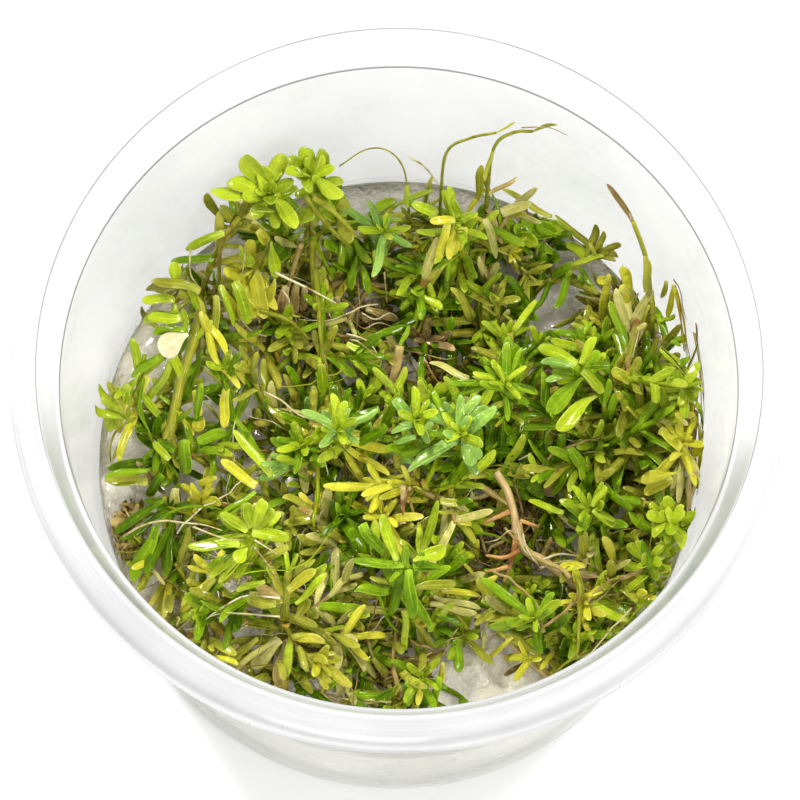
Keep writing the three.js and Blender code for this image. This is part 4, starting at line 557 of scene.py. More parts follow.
# Loose roots, hairs and thin stems, by the shoot that they hang on: tissue, radius, points as for the
# stems. A scratch script worked out and printed nearly all of these rows from readings by eye.
THREADS = {
    "small_crown_left": [
        ("cream", 0.17, [(-36.5, -15.5, 11), (-34, -14.5, 13), (-31, -14, 14), (-28.5, -14.5, 15),
                         (-25.5, -15, 16), (-23, -16, 17)]),
        ("cream", 0.15, [(-27, -15, 15), (-24.5, -16.5, 17), (-22, -17.5, 18), (-20, -17.5, 18)]),
    ],
    "crown_lower_left": [
        ("cream", 0.13, [(-18.5, -18.5, 18), (-16.5, -20.5, 16), (-15, -22.5, 14)]),
        ("cream", 0.12, [(-18.5, -17.5, 18), (-15.5, -19, 17)]),
    ],
    "spears_lower_left": [
        ("cream", 0.16, [(-15, -24, 13), (-19.5, -23.5, 12), (-22.5, -24.5, 10), (-25, -25.5, 7),
                         (-27, -26.5, 5), (-28.5, -26, 3)]),
        ("cream", 0.15, [(-15, -26, 11), (-19.5, -25.5, 10), (-23, -25, 8), (-25.5, -25.5, 6),
                         (-26.5, -26.5, 3)]),
        ("cream", 0.12, [(-19.5, -26, 6), (-21.5, -27, 5), (-23, -28.5, 4), (-24, -29.5, 2)]),
        ("tan", 0.13, [(-19.5, -25.5, 6), (-21.5, -27, 6), (-23.5, -29.5, 5)]),
    ],
    "olive_stem_front_left": [
        ("lime", 0.13, [(-14, -21, 16), (-11.5, -20, 17), (-10, -18.5, 18), (-8.5, -16.5, 19)]),
        ("lime", 0.12, [(-21, -22, 15), (-19.5, -21.5, 16), (-16.5, -21, 16), (-14, -21, 16)]),
    ],
    "tall_leaf_right": [
        ("brown", 0.13, [(37, 20.5, 20), (38, 19, 20), (38.5, 17, 18), (39.5, 16, 16)]),
        ("yellow", 0.24, [(37.5, 19.5, 19), (38.5, 17, 17), (39, 15, 15), (39.5, 13.5, 13),
                          (40.5, 12, 11)]),
        ("yellow", 0.22, [(37, 19.5, 19), (38, 17, 17), (38.5, 15, 14), (39, 13, 12)]),
        ("brown", 0.14, [(37.5, 20, 19), (39, 16.5, 15), (39.5, 13.5, 12), (40.5, 12, 10)]),
        ("yellow", 0.24, [(37, 20, 19), (39, 15.5, 13), (40, 13.5, 10), (41.5, 11, 7)]),
    ],
    "brown_tip_right": [
        ("pale", 0.2, [(40.5, 13.5, 18), (41, 11.5, 17), (41.5, 9, 16), (42.5, 7, 14), (43, 5, 12),
                       (43.5, 1.5, 9)]),
        ("brown", 0.1, [(35.5, 12, 16), (37.5, 10, 16), (39.5, 7.5, 16), (41, 7, 15), (42, 6, 14)]),
        ("dry", 0.3, [(40.5, 14, 17), (41.5, 10.5, 15), (42.5, 7, 13), (43.5, 4, 11), (43.5, 1.5, 8)]),
        ("tan", 0.28, [(42, 10.5, 14), (42, 6.5, 12), (43, 3, 8), (43.5, -1.5, 4)]),
    ],
    "crown_back_left": [
        ("olive", 0.4, [(-22.5, 28.5, 18), (-25, 25.5, 15), (-25.5, 22, 9), (-27, 20, 6)]),
        ("olive", 0.28, [(-18, 25.5, 17), (-21.5, 21.5, 10)]),
        ("cream", 0.12, [(-21.5, 24.5, 17), (-22, 22, 13)]),
        ("cream", 0.15, [(-29, 23.5, 18), (-29, 21, 15), (-27.5, 19.5, 13)]),
    ],
    "crown_back_left_second": [
        ("olive", 0.42, [(-13.5, 30.5, 21), (-10, 27.5, 17), (-7, 26.5, 12)]),
        ("olive", 0.4, [(-12.5, 30.5, 21), (-10, 29.5, 19), (-6.5, 27.5, 15)]),
        ("olive", 0.38, [(-12.5, 26.5, 15), (-12.5, 24.5, 10), (-12, 18, 3)]),
        ("tan", 0.4, [(-14, 26, 15), (-15.5, 23, 9), (-16, 21.5, 5)]),
        ("green", 0.3, [(-12.5, 27, 15), (-9.5, 23.5, 8)]),
    ],
    "wall_bunch_left": [
        ("green", 0.28, [(-35, 7, 11), (-35.5, 5, 9), (-35.5, 3, 8), (-34.5, 1.5, 7), (-33.5, -0.5, 6)]),
        ("olive", 0.22, [(-36, 2, 9), (-38.5, 1, 7), (-39.5, -1, 5), (-39.5, -2.5, 3)]),
        ("green", 0.35, [(-36, 6, 9), (-35, 2.5, 7), (-33, -1.5, 5)]),
        ("olive", 0.3, [(-28.5, -2, 6), (-25, -3.5, 5), (-19.5, -5, 3)]),
    ],
    "blades_lower_left": [
        ("olive", 0.35, [(-31.5, -8.5, 7), (-31.5, -12.5, 4), (-31, -16, 2)]),
    ],
    "bent_stem_back_right": [
        ("cream", 0.1, [(15.5, 37.8, 30), (19, 37.5, 31), (21.5, 36.5, 31)]),
    ],
    "hairy_stem": [
        ("olive", 0.13, [(20, -5.5, 8), (21.5, -4, 8), (23, -2, 8)]),
        ("brown", 0.24, [(16, -5.5, 9), (17, -8.5, 9), (17.5, -11, 8)]),
        ("root", 0.38, [(15.5, -9.5, 8), (13.5, -10.5, 8), (12, -11, 7)]),
        ("root", 0.36, [(17, -15, 8), (15, -16, 8), (12.5, -15.5, 7)]),
        ("root", 0.42, [(16.5, -13.5, 8), (16, -16, 7), (15, -19, 6)]),
        ("root", 0.34, [(15.5, -17, 7), (14, -17.5, 7), (12.5, -17.5, 6)]),
        ("root", 0.3, [(17, -11, 9), (18.5, -11.5, 9), (19.5, -11.5, 8)]),
        ("cream", 0.15, [(16.5, -13, 9), (15.5, -12.5, 9), (14, -13.5, 8), (12, -14, 8)]),
        ("cream", 0.13, [(17, -11, 9), (18, -15, 9), (20, -17.5, 8)]),
        ("cream", 0.13, [(16.5, -12, 9), (17.5, -15, 9), (19.5, -16.5, 8)]),
        ("cream", 0.2, [(20, -16, 7), (22.5, -15, 7), (25.5, -15, 6)]),
        ("cream", 0.16, [(20, -17, 7), (23, -16, 7), (26, -15.5, 6)]),
        ("cream", 0.1, [(23, -19, 6), (23, -20, 4), (22.5, -21, 3)]),
        ("cream", 0.1, [(23.5, -19.5, 6), (24, -20.5, 4), (24, -21.5, 3)]),
        ("lime", 0.5, [(26, -20, 5), (29, -21.5, 4), (32, -22.5, 3)]),
    ],
    "small_crown_centre": [
        ("cream", 0.16, [(-18.5, 6, 10), (-16, 4.5, 11), (-13.5, 2.5, 11), (-10, 1, 12)]),
    ],
    "green_stem_centre": [
        ("cream", 0.15, [(-7.5, 15.5, 8), (-5.5, 15, 8), (-4, 14, 8), (-2.5, 12, 7)]),
        ("olive", 0.42, [(-12, 23, 13), (-11.5, 19, 12), (-11, 14.5, 10), (-10.5, 11, 8)]),
        ("olive", 0.38, [(-19.5, 17.5, 11), (-15.5, 16.5, 10), (-12.5, 14.5, 8)]),
        ("cream", 0.2, [(-17.5, 22, 14), (-12.5, 20, 13), (-9, 18.5, 12)]),
        ("cream", 0.12, [(-7, 14, 10), (-5.5, 13.5, 10), (-2.5, 11.5, 8)]),
    ],
    "decayed_clump_back": [
        ("cream", 0.12, [(-2.5, 24, 10), (-2, 21, 6)]),
        ("cream", 0.14, [(-5.5, 19, 7), (-3.5, 18.5, 6), (-1.5, 19.5, 6), (0, 19, 4)]),
        ("cream", 0.12, [(-5, 17, 6), (-3, 18, 6), (-0.5, 17.5, 5)]),
        ("brown", 0.2, [(-7, 19, 5), (-4, 18, 4), (-0.5, 18.5, 4)]),
        ("brown", 0.16, [(-6, 20.5, 6), (-3.5, 18.5, 5), (-3, 16.5, 3)]),
    ],
    "flat_stem_back": [
        ("cream", 0.14, [(-16.5, 21, 10), (-15.5, 19.5, 9), (-16, 17.5, 6)]),
        ("cream", 0.12, [(-9.5, 20.5, 9), (-10, 18.5, 8), (-8.5, 16.5, 6)]),
        ("brown", 0.14, [(-14, 21, 6), (-11, 20, 5), (-8.5, 17.5, 4)]),
        ("brown", 0.12, [(-11.5, 21.5, 6), (-8.5, 20.5, 5), (-5.5, 21.5, 4)]),
    ],
    "yellow_bunch_right": [
        ("yellow", 0.22, [(40, 5, 13), (40.5, 1, 9), (42, -3, 5), (42, -8.5, 3)]),
        ("tan", 0.2, [(40.5, 4.5, 12), (42, 0, 8), (42.5, -4.5, 4)]),
        ("cream", 0.18, [(39, 5.5, 13), (39.5, 2.5, 10), (40.5, -1.5, 6)]),
    ],
    "whorl_right": [
        ("brown", 0.1, [(39.5, 7.5, 14), (40.5, 8.5, 14), (41.5, 7.5, 13), (42.5, 6, 11)]),
    ],
    "pale_pair_front": [
        ("brown", 0.16, [(7, -14.5, 6), (12, -16, 5), (15.5, -17, 4)]),
        ("brown", 0.18, [(7.5, -15.5, 5), (12.5, -17, 4), (16, -19, 4)]),
        ("brown", 0.13, [(7.5, -14, 7), (10.5, -14, 6), (14.5, -15.5, 5)]),
        ("brown", 0.12, [(6.5, -15, 6), (10.5, -17, 4), (13.5, -19, 3)]),
        ("brown", 0.14, [(8.5, -13, 7), (11, -15, 6), (12, -18, 4)]),
        ("brown", 0.12, [(6.5, -16.5, 5), (10, -16.5, 5), (13.5, -15.5, 4)]),
    ],
    "curled_leaves_centre": [
        ("dry", 0.34, [(1, -7.5, 12), (1, -9.5, 10), (1.5, -11.5, 9), (2.5, -11, 9), (2, -9, 10)]),
        ("dry", 0.28, [(2, -7.5, 11), (1.5, -8, 10), (1, -10.5, 9)]),
    ],
    "hanging_leaves_back_left": [
        ("brown", 0.13, [(-17.5, 22, 7), (-15.5, 21, 5), (-16, 19, 3)]),
    ],
    "root_clump_centre": [
        ("root", 0.16, [(3.5, 12, 8), (5, 10, 6), (7, 9, 4)]),
        ("brown", 0.2, [(4, 12.5, 8), (5, 10.5, 6), (4.5, 8.5, 4)]),
        ("brown", 0.16, [(6, 12, 7), (6, 10, 5), (7.5, 9, 4)]),
    ],
    "root_arch_back": [
        ("cream", 0.16, [(0.5, 35.3, 24.5), (2.5, 34.5, 23.5), (4.5, 33, 21)]),
    ],
}

# Places where the gel lies bare, as (x, y, radius). A scratch script found 19 of the 31 middles, as pale
# patches in the photo. The other middles and the radii were chosen.
BARE_GEL = [(8.5, -32.5, 3.6), (14.5, -31.5, 4.2), (18.5, -33.5, 3.5), (9.4, 16.6, 1.8), (21.4, 22.1, 3.2),
            (14.5, 26.1, 2.2), (-37, -8, 3.4), (-37.8, 0.4, 3), (-34.1, -11.5, 2.2), (-35.6, 15.8, 2.2),
            (-23.4, 5.3, 2.4), (-28.5, 27.1, 2.6), (-20, -28, 1.6), (-38, 8, 1.8), (-36, 15, 1.8),
            (-6, 37.5, 3.2), (1, 38.5, 3.6), (7.5, 38.5, 3), (-32.5, -15.4, 1.6), (-24.9, 0.8, 1.6),
            (-35.9, -1.4, 1.5), (-16.2, 30.5, 1.2), (-27.4, -0.4, 1.2), (-19.4, 1.2, 1.2), (-34, 5.2, 1.6),
            (27.9, 27.8, 2.6), (24.4, 29, 1.6), (20.3, -27.7, 1.3), (12.5, -25.8, 1.2), (23.7, -26.2, 1.2),
            (-25, 9, 1.4)]
# Places where only low growth stands, round the hairy stem and over the dead roots at the back
LOW_GROWTH = [(16.5, -9, 2), (17.5, -13, 2.2), (21, -16, 2.2), (25.5, -18.5, 1.8), (-16, 22, 2.6),
              (-5, 19, 2.8), (5, 12, 2.2), (-10.5, 20, 2)]
KEPT_LOW = BARE_GEL + LOW_GROWTH
# Places where the old growth shows, as (x, y, radius)
OLD_GROWTH = [(-14, 19, 8), (-5, 17, 8), (4, 13, 5), (-19, 5, 6), (-18, -29, 9), (-9, -31, 7), (10, -17, 6),
              (3, -33, 5), (-36, -12, 6), (22, 26, 6), (-28, -21, 5), (20, -29, 5), (39, 0, 5), (33, 20, 6),
              (-29, 8, 6)]

# Leaf and stem tissues: fresh, deep, pale and dead colours, as sRGB
TISSUES = {
    "lime": ("b0c41e", "7a9202", "d2e05c", "b0982c"),
    "green": ("80a20c", "4c7202", "aed038", "9a941e"),
    "deep": ("587a00", "2a4a00", "80aa1a", "6e6c10"),
    "blue": ("8cb444", "5c8626", "bedc88", "8a8a28"),
    "yellow": ("d6d030", "aaa81a", "f0ea78", "b88830"),
    "olive": ("acaa34", "747812", "ccce60", "80602a"),
    "pale": ("ccc468", "969440", "e8e09c", "a08444"),
    "dry": ("e4c68c", "b28c54", "f4e0b4", "8a5030"),
    "tan": ("c4aa68", "8e7238", "dece90", "6e5028"),
    "brown": ("7a6238", "443012", "a4905a", "2c1e0e"),
    "cream": ("f0e4b8", "cab874", "fcf4dc", "9a7c40"),
    "root": ("dca868", "b47e46", "f0c898", "9a5e30"),
}
STEM_TISSUE = {
    "lime": "lime", "green": "green", "deep": "green", "blue": "lime", "yellow": "olive", "olive": "olive",
    "pale": "tan", "dry": "tan", "tan": "tan", "brown": "brown", "cream": "cream",
}


def wall_radius(height):
    """Inner radius of the cup at a height over the gel, in millimetres."""
    share = (GEL_LEVEL + height - WALL_LOW[1]) / (WALL_HIGH[1] - WALL_LOW[1])
    return WALL_LOW[0] + (WALL_HIGH[0] - WALL_LOW[0]) * share


def smooth_step(value):
    value = min(max(value, 0.0), 1.0)
    return value * value * (3 - 2 * value)


def linear(hexcode):
    """A linear colour with alpha from an sRGB code."""
    parts = [int(hexcode[i:i + 2], 16) / 255 for i in (0, 2, 4)]
    return [((p + 0.055) / 1.055) ** 2.4 if p > 0.04045 else p / 12.92 for p in parts] + [1.0]


# Helpers for shader nodes

def add_node(tree, kind, inputs=None, **settings):
    """A node with its settings, and with its inputs given as values or as sockets to link."""
    made = tree.nodes.new(kind)
    for key, value in settings.items():
        setattr(made, key, value)
    for key, value in (inputs or {}).items():
        socket = made.inputs[key]
        if isinstance(value, bpy.types.NodeSocket):
            tree.links.new(value, socket)
        else:
            socket.default_value = value
    return made


def calc(tree, operation, a, b=0.0, c=0.0, clamp=False):
    """The result of a sum on values or sockets."""
    made = add_node(tree, "ShaderNodeMath", {0: a, 1: b, 2: c}, operation=operation, use_clamp=clamp)
    return made.outputs[0]


def plus(tree, a, b, clamp=False):
    return calc(tree, "ADD", a, b, clamp=clamp)


def times(tree, a, b):
    return calc(tree, "MULTIPLY", a, b)


def blend_colours(tree, factor, a, b):
    """A colour from a to b by the factor."""
    made = add_node(tree, "ShaderNodeMix", {0: factor, 6: a, 7: b}, data_type="RGBA")
    return made.outputs[2]


def remap(tree, value, low, high, out_low=0.0, out_high=1.0):
    """A value that goes softly from out_low to out_high while the given one goes from low to high."""
    return add_node(tree, "ShaderNodeMapRange", {0: value, 1: low, 2: high, 3: out_low, 4: out_high},
                    interpolation_type="SMOOTHSTEP").outputs[0]


def grain(tree, place, scale, detail=3.0, distortion=0.0):
    """Noise on object coordinates. The scale is in features per metre."""
    values = {"Vector": place, "Scale": scale, "Detail": detail, "Distortion": distortion}
    return add_node(tree, "ShaderNodeTexNoise", values).outputs["Fac"]


def attribute(tree, name):
    """A value that the mesh carries."""
    return add_node(tree, "ShaderNodeAttribute", attribute_name=name).outputs["Fac"]


def object_place(tree):
    """Object coordinates, in metres."""
    return add_node(tree, "ShaderNodeTexCoord").outputs["Object"]


def place_parts(tree, place):
    """Left to right, front to back and height of a place, and its distance from the cup's axis."""
    x, y, z = add_node(tree, "ShaderNodeSeparateXYZ", {0: place}).outputs[:]
    squares = plus(tree, times(tree, x, x), times(tree, y, y))
    return x, y, z, calc(tree, "SQRT", squares)


# What every tissue group takes and gives
TISSUE_COLOURS = ("Fresh", "Deep", "Pale", "Dead")
TISSUE_RESULTS = {"Color": "NodeSocketColor", "Roughness": "NodeSocketFloat", "Height": "NodeSocketFloat"}


def new_tissue_group(name):
    """A shader group with a tissue's inputs and outputs and its own input and output nodes."""
    tree = bpy.data.node_groups.new(name, "ShaderNodeTree")
    for label in TISSUE_COLOURS:
        tree.interface.new_socket(name=label, in_out="INPUT", socket_type="NodeSocketColor")
    for label, kind in TISSUE_RESULTS.items():
        tree.interface.new_socket(name=label, in_out="OUTPUT", socket_type=kind)
    return tree, tree.nodes.new("NodeGroupInput").outputs, tree.nodes.new("NodeGroupOutput").inputs


def leaf_group():
    """Leaf tissue: tone of each leaf, pale midrib, pale margin that is partly painted light through the thin
    edge, painted shade on one side, side veins, mottling, dead tips.
    """
    tree, given, out = new_tissue_group("leaf_tissue")
    place = object_place(tree)
    along, side = attribute(tree, "along"), attribute(tree, "side")
    shade, age = attribute(tree, "shade"), attribute(tree, "age")
    off_middle = calc(tree, "ABSOLUTE", side)
    patches = grain(tree, place, 420.0, 3.0, 0.6)
    specks = grain(tree, place, 3600.0, 2.0)
    tone = plus(tree, shade, remap(tree, patches, 0.35, 0.7, -0.22, 0.22), clamp=True)
    colour = blend_colours(tree, tone, given["Fresh"], given["Deep"])
    streak_place = add_node(tree, "ShaderNodeCombineXYZ",
                            {0: times(tree, side, 2.6), 1: times(tree, along, 1.4),
                             2: times(tree, shade, 40.0)})
    streaks = grain(tree, streak_place.outputs[0], 1.6, 2.0, 0.3)
    colour = blend_colours(tree, remap(tree, streaks, 0.5, 0.74, 0.0, 0.2), colour, given["Pale"])
    colour = blend_colours(tree, remap(tree, streaks, 0.46, 0.28, 0.0, 0.22), colour, given["Deep"])
    stalk = remap(tree, along, 0.32, 0.0)
    colour = blend_colours(tree, times(tree, stalk, 0.55), colour, given["Pale"])
    rib = remap(tree, off_middle, 0.2, 0.02)
    rib = times(tree, rib, remap(tree, along, 0.95, 0.4, 0.0, 0.4))
    colour = blend_colours(tree, rib, colour, given["Pale"])
    # Pale margin: partly the leaf's own paler edge, partly painted light shining through the thin edge
    margin = remap(tree, off_middle, 0.76, 0.98, 0.0, 0.42)
    colour = blend_colours(tree, margin, colour, given["Pale"])
    colour = blend_colours(tree, remap(tree, along, 0.8, 1.0, 0.0, 0.3), colour, given["Pale"])
    turned = blend_colours(tree, 0.4, given["Pale"], given["Dead"])
    turning = times(tree, remap(tree, along, 0.15, 1.0), remap(tree, age, 0.1, 0.8, 0.0, 0.75))
    colour = blend_colours(tree, turning, colour, turned)
    # Painted shade: one side of the blade darker, most towards the stalk
    shaded = times(tree, remap(tree, side, 0.2, -1.0, 0.0, 0.4), remap(tree, along, 1.0, 0.3))
    colour = blend_colours(tree, shaded, colour, given["Deep"])
    slant = calc(tree, "MULTIPLY_ADD", off_middle, -9.0, times(tree, along, 46.0))
    vein = remap(tree, calc(tree, "SINE", slant), 0.55, 1.0)
    colour = blend_colours(tree, times(tree, vein, 0.07), colour, given["Pale"])
    colour = blend_colours(tree, remap(tree, specks, 0.54, 0.74, 0.0, 0.32), colour, given["Deep"])
    worn = plus(tree, times(tree, along, 0.55), times(tree, patches, 0.5))
    worn = plus(tree, worn, times(tree, age, 0.75))
    dead = remap(tree, worn, 1.12, 1.38)
    colour = blend_colours(tree, dead, colour, given["Dead"])
    tree.links.new(colour, out["Color"])
    tree.links.new(remap(tree, patches, 0.3, 0.75, 0.16, 0.38), out["Roughness"])
    swell = grain(tree, place, 1100.0, 1.0)
    height = plus(tree, times(tree, vein, -0.15), times(tree, specks, 0.5))
    height = plus(tree, height, times(tree, swell, 2.2))
    height = calc(tree, "SUBTRACT", height, times(tree, rib, 0.5))
    tree.links.new(height, out["Height"])
    return tree


def stem_group():
    """Stem and root tissue: long fibres, ringed nodes, brown stains."""
    tree, given, out = new_tissue_group("stem_tissue")
    place = object_place(tree)
    along, side = attribute(tree, "along"), attribute(tree, "side")
    shade, age = attribute(tree, "shade"), attribute(tree, "age")
    patches = grain(tree, place, 520.0, 4.0, 0.8)
    specks = grain(tree, place, 3200.0, 2.0)
    tone = plus(tree, shade, remap(tree, patches, 0.3, 0.7, -0.3, 0.3), clamp=True)
    colour = blend_colours(tree, tone, given["Fresh"], given["Deep"])
    fibre_place = add_node(tree, "ShaderNodeCombineXYZ",
                           {0: times(tree, side, 7.0), 1: times(tree, along, 2.5),
                            2: shade})
    fibres = grain(tree, fibre_place.outputs[0], 2.2)
    colour = blend_colours(tree, remap(tree, fibres, 0.5, 0.68, 0.0, 0.5), colour, given["Pale"])
    colour = blend_colours(tree, remap(tree, fibres, 0.46, 0.34, 0.0, 0.45), colour, given["Deep"])
    blotch = plus(tree, patches, times(tree, age, 0.45))
    colour = blend_colours(tree, remap(tree, blotch, 0.72, 0.92, 0.0, 0.85), colour, given["Dead"])
    tree.links.new(colour, out["Color"])
    tree.links.new(remap(tree, patches, 0.3, 0.7, 0.28, 0.55), out["Roughness"])
    height = plus(tree, times(tree, fibres, 1.0), times(tree, specks, 0.35))
    tree.links.new(height, out["Height"])
    return tree


def new_material(name):
    material = bpy.data.materials.new(name)
    material.use_nodes = True
    return material, material.node_tree, material.node_tree.nodes["Principled BSDF"]


def set_shader(shader, **values):
    for label, value in values.items():
        shader.inputs[label.replace("_", " ")].default_value = value


def set_relief(tree, shader, height, strength, distance):
    """Fine relief from a height, with its depth in metres."""
    bump = add_node(tree, "ShaderNodeBump", {"Strength": strength, "Distance": distance, "Height": height})
    tree.links.new(bump.outputs["Normal"], shader.inputs["Normal"])


def tissue_material(kind, name, group):
    """Living or dead tissue of one colour set."""
    material, tree, shader = new_material(name + "_" + kind)
    tissue = add_node(tree, "ShaderNodeGroup", node_tree=group)
    for label, code in zip(TISSUE_COLOURS, TISSUES[name]):
        tissue.inputs[label].default_value = linear(code)
    tree.links.new(tissue.outputs["Color"], shader.inputs["Base Color"])
    tree.links.new(tissue.outputs["Roughness"], shader.inputs["Roughness"])
    set_relief(tree, shader, tissue.outputs["Height"], 0.6, 0.0002)
    set_shader(shader, Coat_Weight=0.36 if kind == "leaf" else 0.2, Coat_Roughness=0.05,
               Specular_IOR_Level=0.3, Specular_Tint=linear("e8f000"))
    return material


LEAF_GROUP = leaf_group()
STEM_GROUP = stem_group()
MATERIALS = {}


def material_for(kind, name):
    key = (kind, name)
    if key not in MATERIALS:
        MATERIALS[key] = tissue_material(kind, name, LEAF_GROUP if kind == "leaf" else STEM_GROUP)
    return MATERIALS[key]


# Modelling: one growing mesh with the values that its tissue reads

def to_object(bm, name, materials):
    """A smooth object in metres from a mesh in millimetres, which is freed."""
    for face in bm.faces:
        face.smooth = True
    mesh = bpy.data.meshes.new(name)
    bm.to_mesh(mesh)
    bm.free()
    mesh.transform(Matrix.Scale(MM, 4))
    for material in materials:
        mesh.materials.append(material)
    built = bpy.data.objects.new(name, mesh)
    bpy.context.scene.collection.objects.link(built)
    return built


VALUE_NAMES = ("along", "side", "shade", "age")


class Piece:
    """A joined mesh of leaves, stems and roots, each part made with mesh operators and then added."""

    def __init__(self, name, seed):
        self.name = name
        self.bm = bmesh.new()
        add_layers(self.bm)
        self.tissues = []
        self.dice = random.Random(seed)

    def between(self, low, high):
        return self.dice.uniform(low, high)

    def add_part(self, part, kind, tissue):
        """Adds a finished part with its tissue, and frees it."""
        key = (kind, tissue)
        if key not in self.tissues:
            self.tissues.append(key)
        for face in part.faces:
            face.material_index = self.tissues.index(key)
        mesh = bpy.data.meshes.new("part")
        part.to_mesh(mesh)
        part.free()
        self.bm.from_mesh(mesh)
        bpy.data.meshes.remove(mesh)

    def to_object(self):
        return to_object(self.bm, self.name, [material_for(kind, tissue) for kind, tissue in self.tissues])


def add_layers(bm):
    """The values that the tissues read: place along and across a part, its shade and its age."""
    return [bm.verts.layers.float.new(name) for name in VALUE_NAMES]


def path_length(points):
    return sum((b - a).length for a, b in zip(points, points[1:]))


def on_gel(points):
    """Points in millimetres over the cup's foot from points over the gel."""
    return [Vector((x, y, GEL_LEVEL + h)) for x, y, h in points]


def curve_through(points, count):
    """Evenly numbered points of a smooth curve through the given ones."""
    if len(points) == 2:
        return [points[0].lerp(points[1], i / (count - 1)) for i in range(count)]
    ends = [points[0] * 2 - points[1]] + list(points) + [points[-1] * 2 - points[-2]]
    lengths = [(b - a).length for a, b in zip(points, points[1:])]
    total = sum(lengths)
    result = []
    for i in range(count):
        goal = total * i / (count - 1)
        k = 0
        while k < len(lengths) - 1 and goal > lengths[k]:
            goal -= lengths[k]
            k += 1
        t = min(goal / lengths[k], 1.0)
        p0, p1, p2, p3 = ends[k:k + 4]
        result.append(0.5 * ((2 * p1) + (p2 - p0) * t + (2 * p0 - 5 * p1 + 4 * p2 - p3) * t * t
                             + (3 * p1 - p0 - 3 * p2 + p3) * t ** 3))
    return result


def path_frames(path):
    """Forward and two cross directions at each point, carried along without twisting."""
    forwards = []
    for i in range(len(path)):
        step = path[min(i + 1, len(path) - 1)] - path[max(i - 1, 0)]
        forwards.append(step.normalized())
    across = forwards[0].orthogonal().normalized()
    frames = []
    for forward in forwards:
        across = (across - forward * across.dot(forward)).normalized()
        frames.append((forward, across, forward.cross(across)))
    return frames


def add_tube(piece, path, radius, tissue, sides, shade, age):
    """A closed tube along a path. The radius is a function of the place from 0 to 1 and the angle."""
    bm = bmesh.new()
    layers = add_layers(bm)
    made = bmesh.ops.create_cone(bm, cap_ends=True, segments=sides, radius1=1, radius2=1, depth=1)
    long_edges = {e for v in made["verts"] for e in v.link_edges
                  if abs(e.verts[0].co.z - e.verts[1].co.z) > 0.5}
    bmesh.ops.subdivide_edges(bm, edges=list(long_edges), cuts=len(path) - 2)
    frames = path_frames(path)
    last = len(path) - 1
    for vert in bm.verts:
        place = min(max(vert.co.z + 0.5, 0.0), 1.0)
        i = round(place * last)
        angle = math.atan2(vert.co.y, vert.co.x)
        _, across, other = frames[i]
        reach = radius(place, angle)
        vert.co = inside_wall(path[i] + (across * math.cos(angle) + other * math.sin(angle)) * reach)
        for layer, value in zip(layers, (place, angle / math.pi, shade, age)):
            vert[layer] = value
    piece.add_part(bm, "stem", tissue)


def leaf_half_width(t, waist):
    """Share of the widest half width: a stalk, long sides and a blunt round tip."""
    tip = min((1 - t) / 0.3, 1.0)
    opened = smooth_step(t / (0.72 - 0.35 * waist))
    return (waist + (1 - waist) * opened) * math.sqrt(max(tip * (2 - tip), 0.0)) * min(t / 0.02, 1)


def inside_wall(point):
    """The point, eased in and up along the wall where it would run into it."""
    limit = wall_radius(point.z - GEL_LEVEL) - WALL_SPARE
    radius = math.hypot(point.x, point.y)
    if radius < limit - WALL_EASE:
        return point
    eased = limit - WALL_EASE * math.exp((limit - WALL_EASE - radius) / WALL_EASE)
    return Vector((point.x * eased / radius, point.y * eased / radius, point.z + (radius - eased) * 0.8))


# Ranges of a leaf's form: width over its blade's, half thickness in millimetres, twist in degrees, and
# sway, channel and wave as shares of its length or half width
WIDTH_SPREAD = (0.88, 1.12)
PLUMP = (0.2, 0.36)
TWIST = (-45, 45)
SWAY = (-0.12, 0.12)
CHANNEL = (-0.1, 0.6)
WAVE = (-0.035, 0.035)


def add_leaf(piece, base, direction, length, rise, tissue, blade, age, detail, curls):
    """A plump closed leaf that grows from its base: a bent, channelled, blunt blade."""
    around, rings = detail
    half = min(length * blade.broad, blade.widest) * piece.between(*WIDTH_SPREAD) / 2
    plump = piece.between(*PLUMP) * min(length / 4, 1)
    curl = math.radians(piece.between(*curls))
    start = math.radians(rise) - curl * 0.45
    twist = math.radians(piece.between(*TWIST))
    sway = piece.between(*SWAY) * length
    channel = piece.between(*CHANNEL)
    wave = piece.between(*WAVE) * length
    waist = piece.between(*blade.waist)
    shade = piece.between(0.0, 1.0)
    turn = math.radians(direction)
    ahead = Vector((math.cos(turn), math.sin(turn), 0))
    left = Vector((-math.sin(turn), math.cos(turn), 0))
    up = Vector((0, 0, 1))
    bm = bmesh.new()
    layers = add_layers(bm)
    bmesh.ops.create_uvsphere(bm, u_segments=around, v_segments=rings, radius=1)
    if abs(curl) < 0.01:
        curl = 0.01
    for vert in bm.verts:
        t = (1 + vert.co.z) / 2
        ring = math.hypot(vert.co.x, vert.co.y)
        c, s = (vert.co.x / ring, vert.co.y / ring) if ring > 1e-5 else (0.0, 0.0)
        bend = start + curl * t
        forward = length * (math.sin(bend) - math.sin(start)) / curl
        lift = length * (math.cos(start) - math.cos(bend)) / curl
        reach = half * leaf_half_width(t, waist)
        body = plump * math.sqrt(math.sin(math.pi * min(t * 0.93 + 0.05, 1))) * s
        groove = 0.05 * math.exp(-(c / 0.25) ** 2) if s > 0 else 0
        roll = twist * t
        normal = ahead * -math.sin(bend) + up * math.cos(bend)
        side_way = left * math.cos(roll) + normal * math.sin(roll)
        normal = normal * math.cos(roll) - left * math.sin(roll)
        aside = sway * t * t + wave * math.sin(FULL_TURN * t)
        vert.co = inside_wall(base + ahead * forward + up * lift + left * aside + side_way * (reach * c)
                              + normal * (body + channel * reach * c * c - groove))
        for layer, value in zip(layers, (t, c, shade, age)):
            vert[layer] = value
    piece.add_part(bm, "leaf", tissue)


# Ends of the stems and of the side shoots grown so far, so that each new one goes into a gap
TAKEN_ENDS = [row["stem"][-1][:2] for row in SHOOTS]


def heading(vector):
    """Direction and rise in degrees of a vector."""
    flat = math.hypot(vector.x, vector.y)
    return math.degrees(math.atan2(vector.y, vector.x)), math.degrees(math.atan2(vector.z, flat))


